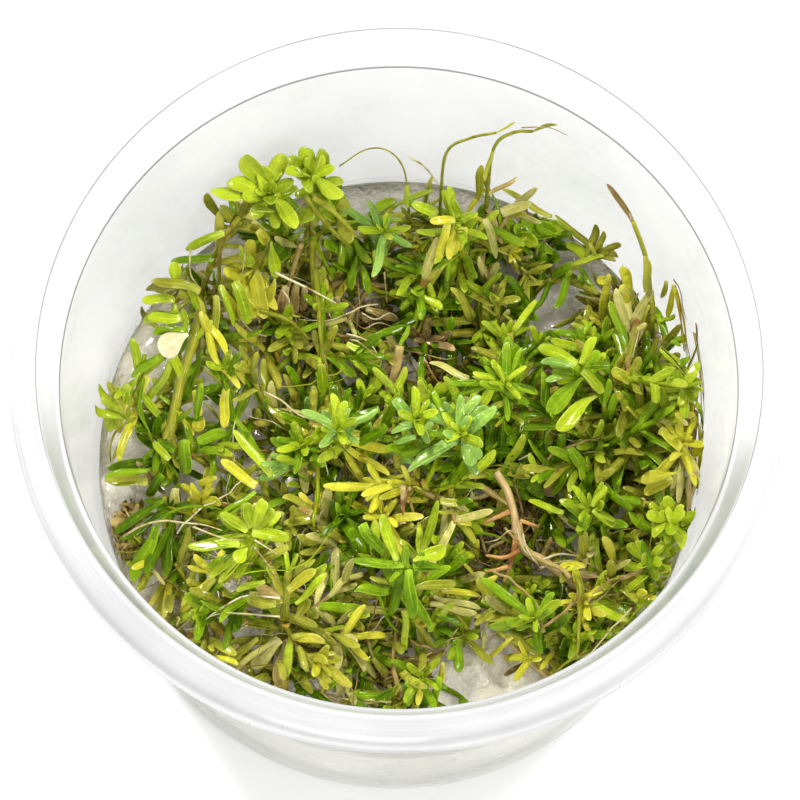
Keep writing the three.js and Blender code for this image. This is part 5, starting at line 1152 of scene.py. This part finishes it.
def leaf_heading(frame_there, turn, pitch):
    """Direction and rise of a leaf turned round its stem and pitched towards the stem's tip."""
    forward, across, other = frame_there
    way = across * math.cos(turn) + other * math.sin(turn)
    return heading(way * math.cos(pitch) + forward * math.sin(pitch))


def stem_radius(thick, nodes, piece):
    """Radius along a stem: a slight taper, four soft ridges and a swelling at each node."""
    phase = piece.between(0, 6.28)

    def radius(place, angle):
        swell = sum(math.exp(-((place - n) / 0.018) ** 2) for n in nodes)
        ridges = 1 + 0.07 * math.cos(4 * angle + phase)
        return thick / 2 * (1.05 - 0.3 * place) * ridges * (1 + 0.28 * swell)

    return radius


# Tissues that the older leaves low on a shoot turn to
LOWER_TISSUE = {
    "lime": ["lime", "green", "green", "deep", "olive"],
    "green": ["green", "green", "deep", "olive", "lime"],
    "deep": ["deep", "deep", "green", "olive"],
    "blue": ["green", "blue", "deep", "lime"],
    "yellow": ["yellow", "lime", "olive", "olive"],
    "olive": ["olive", "olive", "green", "deep", "yellow", "pale"],
    "pale": ["pale", "olive", "green"],
    "dry": ["olive", "olive", "tan"],
    "tan": ["tan", "olive", "olive", "green"],
    "brown": ["brown", "tan", "olive"],
    "cream": ["cream"],
}
LITTER = ["olive", "tan", "pale", "green", "green", "yellow", "deep", "deep"]

# Faces round and along a leaf
BIG_LEAF = (12, 11)
SMALL_LEAF = (8, 7)
BUD_LEAF = (8, 6)

# Curl of a leaf from its stalk to its tip, in degrees
PAIR_CURL = (-45, 20)
NAMED_CURL = (-35, 18)
LONE_CURL = (-25, 10)
BUD_CURL = (-25, 15)
LITTER_CURL = (-80, 60)

# Growth, in millimetres, degrees and shares
FIRST_SEED = 100
STEM_STEP = 0.8
PAIR_SPACING = 2
SPARSE_SPACING = 5
SIDE_SPACING = 1.5
PAIR_LENGTH = 5.8
SIDE_PAIR_LENGTH = (4.8, 7.4)
PAIR_PITCH = (28, 74)
LOST_LEAVES = 0.1
LOWEST_RISE = -28
BUD_PAIRS = ((4.2, 20), (3.4, 36), (2.6, 52), (1.7, 68))
SIDE_SHOOTS = 6
SIDE_REACH = (3.5, 11)
SIDE_LOW, SIDE_TOP = 2.0, 9.0
SIDE_TRIES = 14
SIDE_MARGIN = 2.0
SIDE_THICK = 0.8
SIDE_BUDS = 0.3
WORN_SHARE = 0.75
SPOON_WIDTH = 1.8

# Fallen strips round a foot: how many, how far out, how high, length, rise
LITTER_STRIPS = 13
LITTER_REACH = (1, 7.5)
LITTER_HEIGHT = (0.4, 3.0)
LITTER_LENGTH = (3, 7.5)
LITTER_RISE = (-5, 25)

# Fine roots of a clump: how many, range of radius, points, step as a share of the clump
CLUMP_ROOTS = 60
CLUMP_ROOT = (0.12, 0.34)
CLUMP_ROOT_POINTS = 9
CLUMP_ROOT_STEP = 0.32
CLUMP_EDGE = 1.15

# Loose fine roots and runners round a foot: how far out, how high, points, step, then for each kind
# the range of its radius and its tissues
ROOT_REACH = (0, 5)
ROOT_HEIGHT = (1, 8)
ROOT_POINTS = 10
ROOT_STEP = 1.3
FINE_ROOT = (0.07, 0.14), ("cream", "tan", "olive")
RUNNER = (0.24, 0.42), ("olive", "green", "tan", "deep")
LOOSE_ROOTS = [FINE_ROOT] * 4 + [RUNNER] * 2

# A blade: width as a share of its length, most width, and the stalk end's width as a share of it
Blade = namedtuple("Blade", "broad widest waist")
STRAP = Blade(0.23, 1.3, (0.5, 0.85))
STRIP = Blade(0.16, 0.9, (0.5, 0.9))
FIBRE = Blade(0.09, 0.5, (0.6, 1.0))
SPOON_WAIST = (0.14, 0.24)


def in_bare_gel(point, places=BARE_GEL):
    """Whether the point stands over one of the places."""
    return any(math.hypot(point.x - x, point.y - y) < r for x, y, r in places)


def worn_tissue(piece, point):
    """A dying tissue, more often than not, in the places where the cup's old growth lies bare."""
    for x, y, r in OLD_GROWTH:
        if math.hypot(point.x - x, point.y - y) < r and piece.dice.random() < WORN_SHARE:
            return piece.dice.choice(("tan", "olive", "pale", "pale", "dry", "yellow"))
    return None


def leaf_end(base, direction, length, rise):
    """Where a straight leaf would end."""
    turn, tilt = math.radians(direction), math.radians(rise)
    flat = length * math.cos(tilt)
    return base + Vector((flat * math.cos(turn), flat * math.sin(turn), length * math.sin(tilt)))


def covers_gel(base, direction, length, rise, places):
    """Whether a leaf's middle or end would stand over gel that lies bare."""
    end = leaf_end(base, direction, length, rise)
    return in_bare_gel(end, places) or in_bare_gel(base.lerp(end, 0.6), places)


def add_pairs(piece, path, tone, spacing, first, last, size, blade):
    """Opposite leaves at each node of a stem, each pair turned a quarter from the one before."""
    frames = path_frames(path)
    count = max(int(path_length(path) * (last - first) / spacing), 1)
    turn = piece.between(0, 3.14)
    nodes = []
    for k in range(count):
        place = first + (last - first) * (k + 0.5) / count
        i = min(round(place * (len(path) - 1)), len(path) - 1)
        turn += math.pi / 2 + piece.between(-0.2, 0.2)
        nodes.append(place)
        for flip in (0, math.pi):
            if piece.dice.random() < LOST_LEAVES:
                continue
            pitch = math.radians(piece.between(*PAIR_PITCH))
            direction, rise = leaf_heading(frames[i], turn + flip, pitch)
            reach = size * piece.between(0.55, 1.25)
            rise = max(rise, LOWEST_RISE)
            if path[i].z - GEL_LEVEL + reach * math.sin(math.radians(rise)) < 0.4:
                rise = 8
            if covers_gel(path[i], direction, reach, rise, KEPT_LOW):
                continue
            tissue = tone if place > 0.7 else piece.dice.choice(LOWER_TISSUE[tone])
            age = piece.between(0.1, 0.9) if place < 0.5 else piece.between(0, 0.5)
            add_leaf(piece, path[i], direction, reach, rise, tissue, blade, age, SMALL_LEAF,
                     PAIR_CURL)
    return nodes


def add_bud(piece, tip, forward, tone, blade):
    """The young leaves that stand close together at a shoot's tip."""
    across = forward.orthogonal().normalized()
    frame_there = (forward, across, forward.cross(across))
    turn = piece.between(0, 3.14)
    fresh = "lime" if tone in ("green", "blue", "lime") else tone
    blade = blade._replace(broad=blade.broad + 0.06)
    for size, pitch in BUD_PAIRS:
        turn += math.pi / 2
        for flip in (0, math.pi):
            tilt = math.radians(pitch + piece.between(-8, 8))
            direction, rise = leaf_heading(frame_there, turn + flip, tilt)
            add_leaf(piece, tip, direction, size * piece.between(0.85, 1.15), rise, fresh, blade, 0.0,
                     BUD_LEAF, BUD_CURL)


def freest_end(piece, start, reach, height):
    """The end for a side shoot that stands farthest from the ends already taken."""
    best, most = None, 0.0
    for _ in range(SIDE_TRIES):
        turn = piece.between(0, FULL_TURN)
        out = piece.between(*reach)
        end = start + Vector((math.cos(turn) * out, math.sin(turn) * out, 0))
        end.z = max(min(start.z + piece.between(-2, 4), GEL_LEVEL + height[1]), GEL_LEVEL + height[0])
        wall = wall_radius(end.z - GEL_LEVEL) - SIDE_MARGIN
        if math.hypot(end.x, end.y) > wall or in_bare_gel(end, KEPT_LOW):
            continue
        room = min(((end.x - x) ** 2 + (end.y - y) ** 2 for x, y in TAKEN_ENDS), default=1e6)
        if room > most:
            best, most = end, room
    return best


def add_side_shoots(piece, path, tone, count, blade, highest, top):
    """Short branches low on a stem, bending up, with leaves of their own."""
    for _ in range(count):
        place = piece.between(0.1, highest)
        start = path[round(place * (len(path) - 1))]
        end = freest_end(piece, start, SIDE_REACH, (SIDE_LOW, top))
        if end is None:
            continue
        TAKEN_ENDS.append((end.x, end.y))
        middle = start.lerp(end, 0.55) + Vector((piece.between(-1, 1), piece.between(-1, 1), -0.7))
        branch = curve_through([start, middle, end], 12)
        side_tone = piece.dice.choice(LOWER_TISSUE[tone])
        if worn_tissue(piece, end) and piece.dice.random() < 0.5:
            side_tone = piece.dice.choice(("pale", "olive", "yellow"))
        nodes = add_pairs(piece, branch, side_tone, SIDE_SPACING, 0.2, 0.99, piece.between(*SIDE_PAIR_LENGTH),
                          blade)
        add_tube(piece, branch, stem_radius(SIDE_THICK, nodes, piece), STEM_TISSUE[side_tone], sides=6,
                 shade=piece.between(0.3, 1.0), age=piece.between(0, 0.7))
        if piece.dice.random() < SIDE_BUDS:
            add_bud(piece, branch[-1], (branch[-1] - branch[-2]).normalized(), side_tone, blade)


def spot_round(foot, turn, out, height):
    """A place round the foot of a shoot, at a height over the gel."""
    return Vector((foot.x + math.cos(turn) * out, foot.y + math.sin(turn) * out, GEL_LEVEL + height))


def add_litter(piece, foot, tone, count):
    """Fallen strips and loose fine roots round the foot of a shoot."""
    for _ in range(count):
        turn = piece.between(0, FULL_TURN)
        base = spot_round(foot, turn, piece.between(*LITTER_REACH), piece.between(*LITTER_HEIGHT))
        if math.hypot(base.x, base.y) > wall_radius(0) - SIDE_MARGIN or in_bare_gel(base):
            continue
        direction, length = piece.between(0, 360), piece.between(*LITTER_LENGTH)
        rise = piece.between(*LITTER_RISE)
        if covers_gel(base, direction, length, rise, BARE_GEL):
            continue
        worn = worn_tissue(piece, base)
        tissue = worn or piece.dice.choice(LITTER + LOWER_TISSUE[tone])
        add_leaf(piece, base, direction, length, rise, tissue, FIBRE if worn else STRIP,
                 piece.between(0.2, 1.0), SMALL_LEAF, LITTER_CURL)
    for size, tissues in LOOSE_ROOTS:
        turn = piece.between(0, FULL_TURN)
        point = spot_round(foot, turn, piece.between(*ROOT_REACH), piece.between(*ROOT_HEIGHT))
        turn = piece.between(0, FULL_TURN)
        points = []
        for _ in range(ROOT_POINTS):
            points.append(point)
            turn += piece.between(-0.4, 0.4)
            step = (math.cos(turn) * ROOT_STEP, math.sin(turn) * ROOT_STEP, piece.between(-0.6, 0.6))
            point = point + Vector(step)
            point.z = max(point.z, GEL_LEVEL + 0.5)
            wall = wall_radius(point.z - GEL_LEVEL) - 0.6
            if math.hypot(point.x, point.y) > wall or in_bare_gel(point):
                break
        if len(points) > 3:
            add_thread(piece, points, piece.between(*size), piece.dice.choice(tissues))


def add_thread(piece, points, size, tissue):
    """A fine root or runner that gets thinner to its end."""
    def radius(place, angle):
        return size * (1.1 - 0.6 * place)

    add_tube(piece, points, radius, tissue, sides=5 if size < 0.3 else 8, shade=piece.between(0, 1),
             age=piece.between(0, 0.9))


def add_threads(piece, middle, spread, tissue):
    """A tangle of fine roots inside an ellipsoid."""
    for _ in range(CLUMP_ROOTS):
        point = Vector([piece.dice.gauss(0, 0.4) for _ in range(3)])
        way = Vector([piece.dice.gauss(0, 1) for _ in range(3)]).normalized()
        points = []
        for _ in range(CLUMP_ROOT_POINTS):
            points.append(Vector([middle[k] + point[k] * spread[k] for k in range(3)]))
            way = (way + Vector([piece.dice.gauss(0, 0.45) for _ in range(3)])).normalized()
            point = point + way * CLUMP_ROOT_STEP
            if point.length > CLUMP_EDGE:
                point = point * (CLUMP_EDGE / point.length)
                way = -way
        for p in points:
            p.z = max(p.z, GEL_LEVEL + 0.1)
        size = piece.between(*CLUMP_ROOT)
        add_thread(piece, points, size, piece.dice.choice((tissue, tissue, "tan", "olive")))


def grow_shoot(row, seed):
    """The shoot of one node: its stem, leaves, bud, side shoots, litter and threads in one piece."""
    piece = Piece(row["name"] + "_shoot", seed)
    points = on_gel(row["stem"])
    path = curve_through(points, max(int(path_length(points) / STEM_STEP), 12))
    tone, leafy, sparse = row["tone"], not row.get("bare"), row.get("sparse")
    waist = SPOON_WAIST if row.get("spoon") else STRAP.waist
    blade = Blade(row.get("broad", STRAP.broad), row.get("widest", STRAP.widest), waist)
    spacing = SPARSE_SPACING if sparse else PAIR_SPACING
    nodes = add_pairs(piece, path, tone, spacing, 0.3, 0.95, PAIR_LENGTH, blade) if leafy else [0.3, 0.5, 0.7]
    add_tube(piece, path, stem_radius(row["thick"], nodes, piece), row.get("stem_tissue", STEM_TISSUE[tone]),
             sides=12, shade=piece.between(0.1, 0.8), age=piece.between(0.1, 0.5))
    for place, direction, reach, rise, *tissue in row["leaves"]:
        base = path[round(place * (len(path) - 1))]
        add_leaf(piece, base, direction, reach, rise, tissue[0] if tissue else tone, blade,
                 piece.between(0, 0.4), BIG_LEAF, NAMED_CURL)
    for tissue, stalk, tip, width in LONE_LEAVES.get(row["name"], []):
        base, end = on_gel((stalk, tip))
        length = (end - base).length
        direction, rise = heading(end - base)
        own = Blade(width / length, width, SPOON_WAIST if width > SPOON_WIDTH else STRAP.waist)
        add_leaf(piece, base, direction, length, rise, tissue, own, piece.between(0, 0.3), BIG_LEAF,
                 LONE_CURL)
    if leafy and not sparse:
        add_bud(piece, path[-1], (path[-1] - path[-3]).normalized(), tone, blade)
    side_blade = blade._replace(broad=min(blade.broad, 0.26), widest=min(blade.widest, 1.35))
    add_side_shoots(piece, path, tone, row.get("bush", SIDE_SHOOTS), side_blade, 0.6 if leafy else 0.25,
                    row.get("top", SIDE_TOP))
    add_litter(piece, path[0], tone, row.get("litter", LITTER_STRIPS))
    for tissue, size, points in THREADS.get(row["name"], []):
        add_thread(piece, curve_through(on_gel(points), 14), size, tissue)
    if "clump" in row:
        x, y, h, rx, ry, rz = row["clump"]
        add_threads(piece, (x, y, GEL_LEVEL + h), (rx * 1.25, ry * 1.25, rz * 1.2), row["clump_tissue"])
    return piece.to_object()


# Cup and gel

def turned_piece(profile, steps):
    """A body spun about Z from (radius, height) pairs in millimetres."""
    bm = bmesh.new()
    verts = [bm.verts.new((r, 0, z)) for r, z in profile]
    edges = [bm.edges.new(pair) for pair in zip(verts, verts[1:])]
    bmesh.ops.spin(bm, geom=verts + edges, cent=(0, 0, 0), axis=(0, 0, 1), angle=FULL_TURN, steps=steps,
                   use_merge=True)
    bmesh.ops.remove_doubles(bm, verts=bm.verts, dist=1e-4)
    bmesh.ops.recalc_face_normals(bm, faces=bm.faces)
    return bm


def cup_profile():
    """Section of the cup from the middle of its underside round to the middle of its floor."""
    low_r, low_z = WALL_LOW
    high_r = WALL_HIGH[0]
    outer = high_r + WALL_THICKNESS
    points = [(0, 0.8), (20, 0.8), (36.0, 0.8), (36.5, 0.6), (36.8, 0.1), (37.0, 0.0), (38.8, 0.0),
              (39.3, 0.1), (40.0, 0.6), (40.4, 1.3), (40.6, 2.6)]
    foot_r, foot_z = points[-1]
    for i in range(1, WALL_STEPS):
        share = i / WALL_STEPS
        points.append((foot_r + (outer - foot_r) * share, foot_z + (NECK_HEIGHT - foot_z) * share))
    points += [(outer, NECK_HEIGHT), (44.75, 64.3), (45.1, 64.8), (45.6, 65.6), (46.6, 68.7), (47.0, 69.9),
               (47.4, 70.5), (47.9, 70.6), (48.4, 70.2), (48.75, 69.4), (48.95, 68.0), (49.1, 66.6),
               (49.2, 66.42), (49.5, 66.4), (49.85, 66.45), (RIM_RADIUS, 66.7), (RIM_RADIUS, 69.6),
               (49.85, 70.3), (49.45, 70.9), (48.8, 71.4), (48.0, 71.75), (47.2, 71.95),
               (46.85, CUP_HEIGHT), (46.5, 71.9), (46.25, 71.6), (46.1, 71.1), (45.7, 69.6),
               (44.75, 66.2), (44.5, 65.6), (44.25, 65.3), (44.0, 65.15), (high_r, WALL_TOP)]
    for i in range(1, WALL_STEPS):
        share = 1 - i / WALL_STEPS
        points.append((low_r + (high_r - low_r) * share, low_z + (WALL_TOP - low_z) * share))
    points += [(low_r, low_z), (39.5, 2.4), (39.1, 1.95), (38.4, 1.7), (20, 1.7), (0, 1.7)]
    return points


# Painted shade: fine dark lines round the cup where its wall turns, where the bent clear plastic looks dark:
# radius, height, width in metres, strength
PAINTED_SHADE_LINES = [
    (0.0439, 0.0650, 0.00022, 0.85), (0.0464, 0.0718, 0.00016, 0.8), (0.0471, 0.0720, 0.00020, 0.45),
    (0.0499, 0.0701, 0.00040, 0.6), (0.0484, 0.0716, 0.00012, 0.3), (0.0493, 0.0710, 0.00014, 0.35),
    (0.0499, 0.0665, 0.00025, 0.3),
]


def cup_material():
    """Thin clear moulded plastic, milky, with fine turning lines, a painted dark shade line at each corner,
    and a rim painted darker towards the front as shade.
    """
    material, tree, shader = new_material("milky_plastic")
    place = object_place(tree)
    _, y, height, radius = place_parts(tree, place)
    cloud = grain(tree, place, 60.0, 4.0)
    ripple_place = add_node(tree, "ShaderNodeCombineXYZ",
                            {0: times(tree, radius, 900.0),
                             1: times(tree, height, 500.0)})
    ripple = grain(tree, ripple_place.outputs[0], 1.0, 2.0)
    lines = 0.0
    for line_radius, line_height, width, weight in PAINTED_SHADE_LINES:
        off = plus(tree, calc(tree, "ABSOLUTE", calc(tree, "SUBTRACT", radius, line_radius)),
                   calc(tree, "ABSOLUTE", calc(tree, "SUBTRACT", height, line_height)))
        line = times(tree, remap(tree, off, width * 2, width * 0.5), weight)
        lines = plus(tree, line, lines)
    # Share towards the front: it fades the painted shade lines, paints the rim's shade there and makes the
    # rim more opaque
    to_front = remap(tree, y, 0.004, -0.038)
    lines = calc(tree, "MINIMUM", lines, 1.0)
    lines = times(tree, lines, remap(tree, to_front, 0.0, 1.0, 1.0, 0.05))
    above_gel = remap(tree, height, 0.0290, 0.0310)
    rim = remap(tree, height, 0.0640, 0.0655)
    colour = blend_colours(tree, above_gel, linear("f3f5f0"), linear("bebebe"))
    # A greyer, mottled band on the wall just above the gel, strongest next to it
    blotch = times(tree, remap(tree, height, 0.046, 0.031),
                 remap(tree, cloud, 0.4, 0.66, 0.1, 0.55))
    colour = blend_colours(tree, blotch, colour, linear("bebeb0"))
    # Painted shade: the rim goes from pale to grey towards the front, where it lies in slight shade
    lip = blend_colours(tree, to_front, linear("eeeeee"), linear("b7b7b7"))
    lip = blend_colours(tree, remap(tree, ripple, 0.35, 0.65, 0.0, 0.2), lip, linear("ececec"))
    colour = blend_colours(tree, rim, colour, lip)
    colour = blend_colours(tree, times(tree, cloud, 0.12), colour, linear("f4f6f4"))
    # Painted shade: the dark lines where the wall turns, faded towards the front
    colour = blend_colours(tree, lines, colour, linear("4c5250"))
    tree.links.new(colour, shader.inputs["Base Color"])
    tree.links.new(remap(tree, cloud, 0.3, 0.7, 0.16, 0.3), shader.inputs["Roughness"])
    haze = remap(tree, cloud, 0.3, 0.7, 0.39, 0.45)
    haze = calc(tree, "SUBTRACT", haze, times(tree, above_gel, 0.1))
    opaque = times(tree, remap(tree, height, 0.0605, 0.0630, 0.0, 0.65),
                  remap(tree, to_front, 0.0, 0.6))
    haze = plus(tree, haze, opaque)
    alpha = plus(tree, haze, times(tree, lines, 0.6), clamp=True)
    tree.links.new(alpha, shader.inputs["Alpha"])
    set_relief(tree, shader, ripple, 0.25, 0.00008)
    set_shader(shader, Coat_Weight=0.5, Coat_Roughness=0.08)
    return material


def gel_surface(x, y):
    """Height of the gel's torn and lumpy top over its level."""
    spot = Vector((x, y, 0))
    low = noise.noise(spot * 0.12 + Vector((3, 7, 1))) * 0.5
    lumps = noise.turbulence(spot * 0.42 + Vector((9, 2, 5)), 3, True) * 0.75
    fine = noise.noise(spot * 1.6 + Vector((1, 8, 4))) * 0.16
    return low + lumps + fine - 0.45


def make_gel():
    """The disc of gel, with a torn top and a raised rim where it clings to the wall."""
    low = WALL_LOW[0] - GEL_GAP
    edge = wall_radius(1) - GEL_GAP
    profile = [(GEL_FLAT * i / GEL_RINGS, GEL_LEVEL) for i in range(GEL_RINGS + 1)]
    profile += [(40.2, GEL_LEVEL + 0.1), (40.7, GEL_LEVEL + 0.35), (41.05, GEL_LEVEL + 0.75),
                (edge, GEL_LEVEL + 1.0), (edge - 0.02, GEL_LEVEL - 1)]
    for i in range(1, GEL_SIDE_STEPS + 1):
        share = i / GEL_SIDE_STEPS
        height = GEL_LEVEL - 1 + (GEL_FOOT - GEL_LEVEL + 1) * share
        profile.append((edge + (low - edge) * share, height))
    profile += [(39.2, 2.6), (38.2, GEL_FLOOR), (20, GEL_FLOOR), (0, GEL_FLOOR)]
    bm = turned_piece(profile, GEL_SECTORS)
    for vert in bm.verts:
        if vert.co.z > GEL_LEVEL - 0.01:
            radius = math.hypot(vert.co.x, vert.co.y)
            vert.co.z += gel_surface(vert.co.x, vert.co.y) * smooth_step((edge - radius) / 2.5)
    return to_object(bm, "gel_disc", [gel_material()])


def make_cup():
    return to_object(turned_piece(cup_profile(), CUP_SECTORS), "moulded_cup", [cup_material()])


def gel_material():
    """Wet cloudy gel with torn white flakes that are partly painted glints, painted shade towards the back, a
    painted dark line where it meets the wall and a faint painted glow.
    """
    material, tree, shader = new_material("wet_gel")
    place = object_place(tree)
    _, y, _, radius = place_parts(tree, place)
    cloud = grain(tree, place, 110.0, 4.0, 0.4)
    flakes = grain(tree, place, 520.0, 5.0, 1.4)
    fine = grain(tree, place, 2200.0, 3.0)
    colour = blend_colours(tree, remap(tree, cloud, 0.32, 0.68), linear("d6ccb4"), linear("ece5d4"))
    # Whiter on the raised flakes, partly the torn gel's own white and partly painted highlight for wet
    # glints; darker grey-brown where the flakes lie low
    colour = blend_colours(tree, remap(tree, flakes, 0.56, 0.72, 0.0, 0.8), colour, linear("f2efe8"))
    colour = blend_colours(tree, remap(tree, flakes, 0.4, 0.28, 0.0, 0.35), colour, linear("988c70"))
    # Painted shade: the gel darker towards the back
    colour = blend_colours(tree, remap(tree, y, 0.016, 0.034, 0.0, 0.6), colour, linear("8e8a7e"))
    # Painted reflection: a dark olive line where the gel meets the wall, for the leaves seen bent through its
    # edge
    colour = blend_colours(tree, remap(tree, radius, 0.0408, 0.0414, 0.0, 0.8), colour, linear("5c6440"))
    tree.links.new(colour, shader.inputs["Base Color"])
    tree.links.new(remap(tree, flakes, 0.35, 0.7, 0.06, 0.3), shader.inputs["Roughness"])
    height = plus(tree, times(tree, flakes, 1.0), times(tree, fine, 0.3))
    set_relief(tree, shader, height, 0.8, 0.0008)
    # Painted light: the gel glows faintly in its own colour, for the light scattered inside it
    tree.links.new(colour, shader.inputs["Emission Color"])
    set_shader(shader, Coat_Weight=0.8, Coat_Roughness=0.05, Emission_Strength=0.07)
    return material


# Stage: floor, light and camera, in metres

FLOOR_RADIUS = 1.6
ROOM_LIGHT = 0.5
LAMP_TARGET = (0, 0, 0.03)

# Softboxes: place, size, power
SOFTBOXES = {
    "softbox_back_left": ((-0.3, 0.4, 0.6), 0.15, 4.8),
    "softbox_front_right": ((0.35, -0.35, 0.65), 0.17, 3.0),
    "softbox_back_right": ((0.35, 0.3, 0.5), 0.12, 1.9),
    "softbox_front_low": ((-0.1, -0.7, 0.22), 0.4, 2.0),
}


def make_stage():
    """A plain pale floor."""
    bpy.ops.mesh.primitive_circle_add(vertices=96, radius=FLOOR_RADIUS, fill_type="NGON", location=(0, 0, 0))
    floor = bpy.context.active_object
    floor.name = "pale_floor"
    material, tree, shader = new_material("pale_paper")
    tone = remap(tree, grain(tree, object_place(tree), 5.0, 2.0), 0.3, 0.7)
    colour = blend_colours(tree, tone, linear("ededed"), linear("efefef"))
    tree.links.new(colour, shader.inputs["Base Color"])
    set_shader(shader, Roughness=0.9, Specular_IOR_Level=0.1)
    floor.data.materials.append(material)


def add_area_light(name, place, size, power):
    """A square lamp that points at the gel."""
    light = bpy.data.lights.new(name, "AREA")
    light.shape = "SQUARE"
    light.size = size
    light.energy = power
    lamp = bpy.data.objects.new(name, light)
    lamp.location = place
    lamp.rotation_euler = (Vector(LAMP_TARGET) - Vector(place)).to_track_quat("-Z", "Y").to_euler()
    bpy.context.scene.collection.objects.link(lamp)


def make_light():
    """White walls all round and four softboxes."""
    scene = bpy.context.scene
    world = bpy.data.worlds.new("soft_room")
    world.use_nodes = True
    sky = world.node_tree.nodes["Background"]
    sky.inputs["Color"].default_value = (1.0, 1.0, 1.0, 1.0)
    sky.inputs["Strength"].default_value = ROOM_LIGHT
    scene.world = world
    for name, (place, size, power) in SOFTBOXES.items():
        add_area_light(name, place, size, power)
    scene.view_settings.view_transform = "Standard"
    scene.view_settings.look = "None"


def make_camera():
    """The camera at the photo's viewing angle."""
    tilt = CAMERA_HEIGHT_ANGLE
    back = Vector((0, -math.cos(tilt), math.sin(tilt)))
    image_up = Vector((0, math.sin(tilt), math.cos(tilt)))
    right = Vector((1, 0, 0)) * math.cos(CAMERA_TURN) + image_up * math.sin(CAMERA_TURN)
    up = back.cross(right)
    data = bpy.data.cameras.new("camera")
    data.lens = CAMERA_LENS
    data.sensor_width = 36.0
    data.clip_start = 0.01
    camera = bpy.data.objects.new("camera", data)
    place = (Vector(CAMERA_TARGET) + back * CAMERA_DISTANCE) * MM
    turn = Matrix((right, up, back)).transposed().to_4x4()
    camera.matrix_world = Matrix.Translation(place) @ turn
    bpy.context.scene.collection.objects.link(camera)
    bpy.context.scene.camera = camera


def take_place(piece, node):
    """Rides the piece on the root body, in place of its node, which is hidden."""
    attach(piece, "root")
    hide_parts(node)


make_camera()
make_stage()
make_light()
take_place(make_cup(), "cup")
take_place(make_gel(), "agar_gel")
for number, row in enumerate(SHOOTS):
    take_place(grow_shoot(row, FIRST_SEED + number), row["name"])
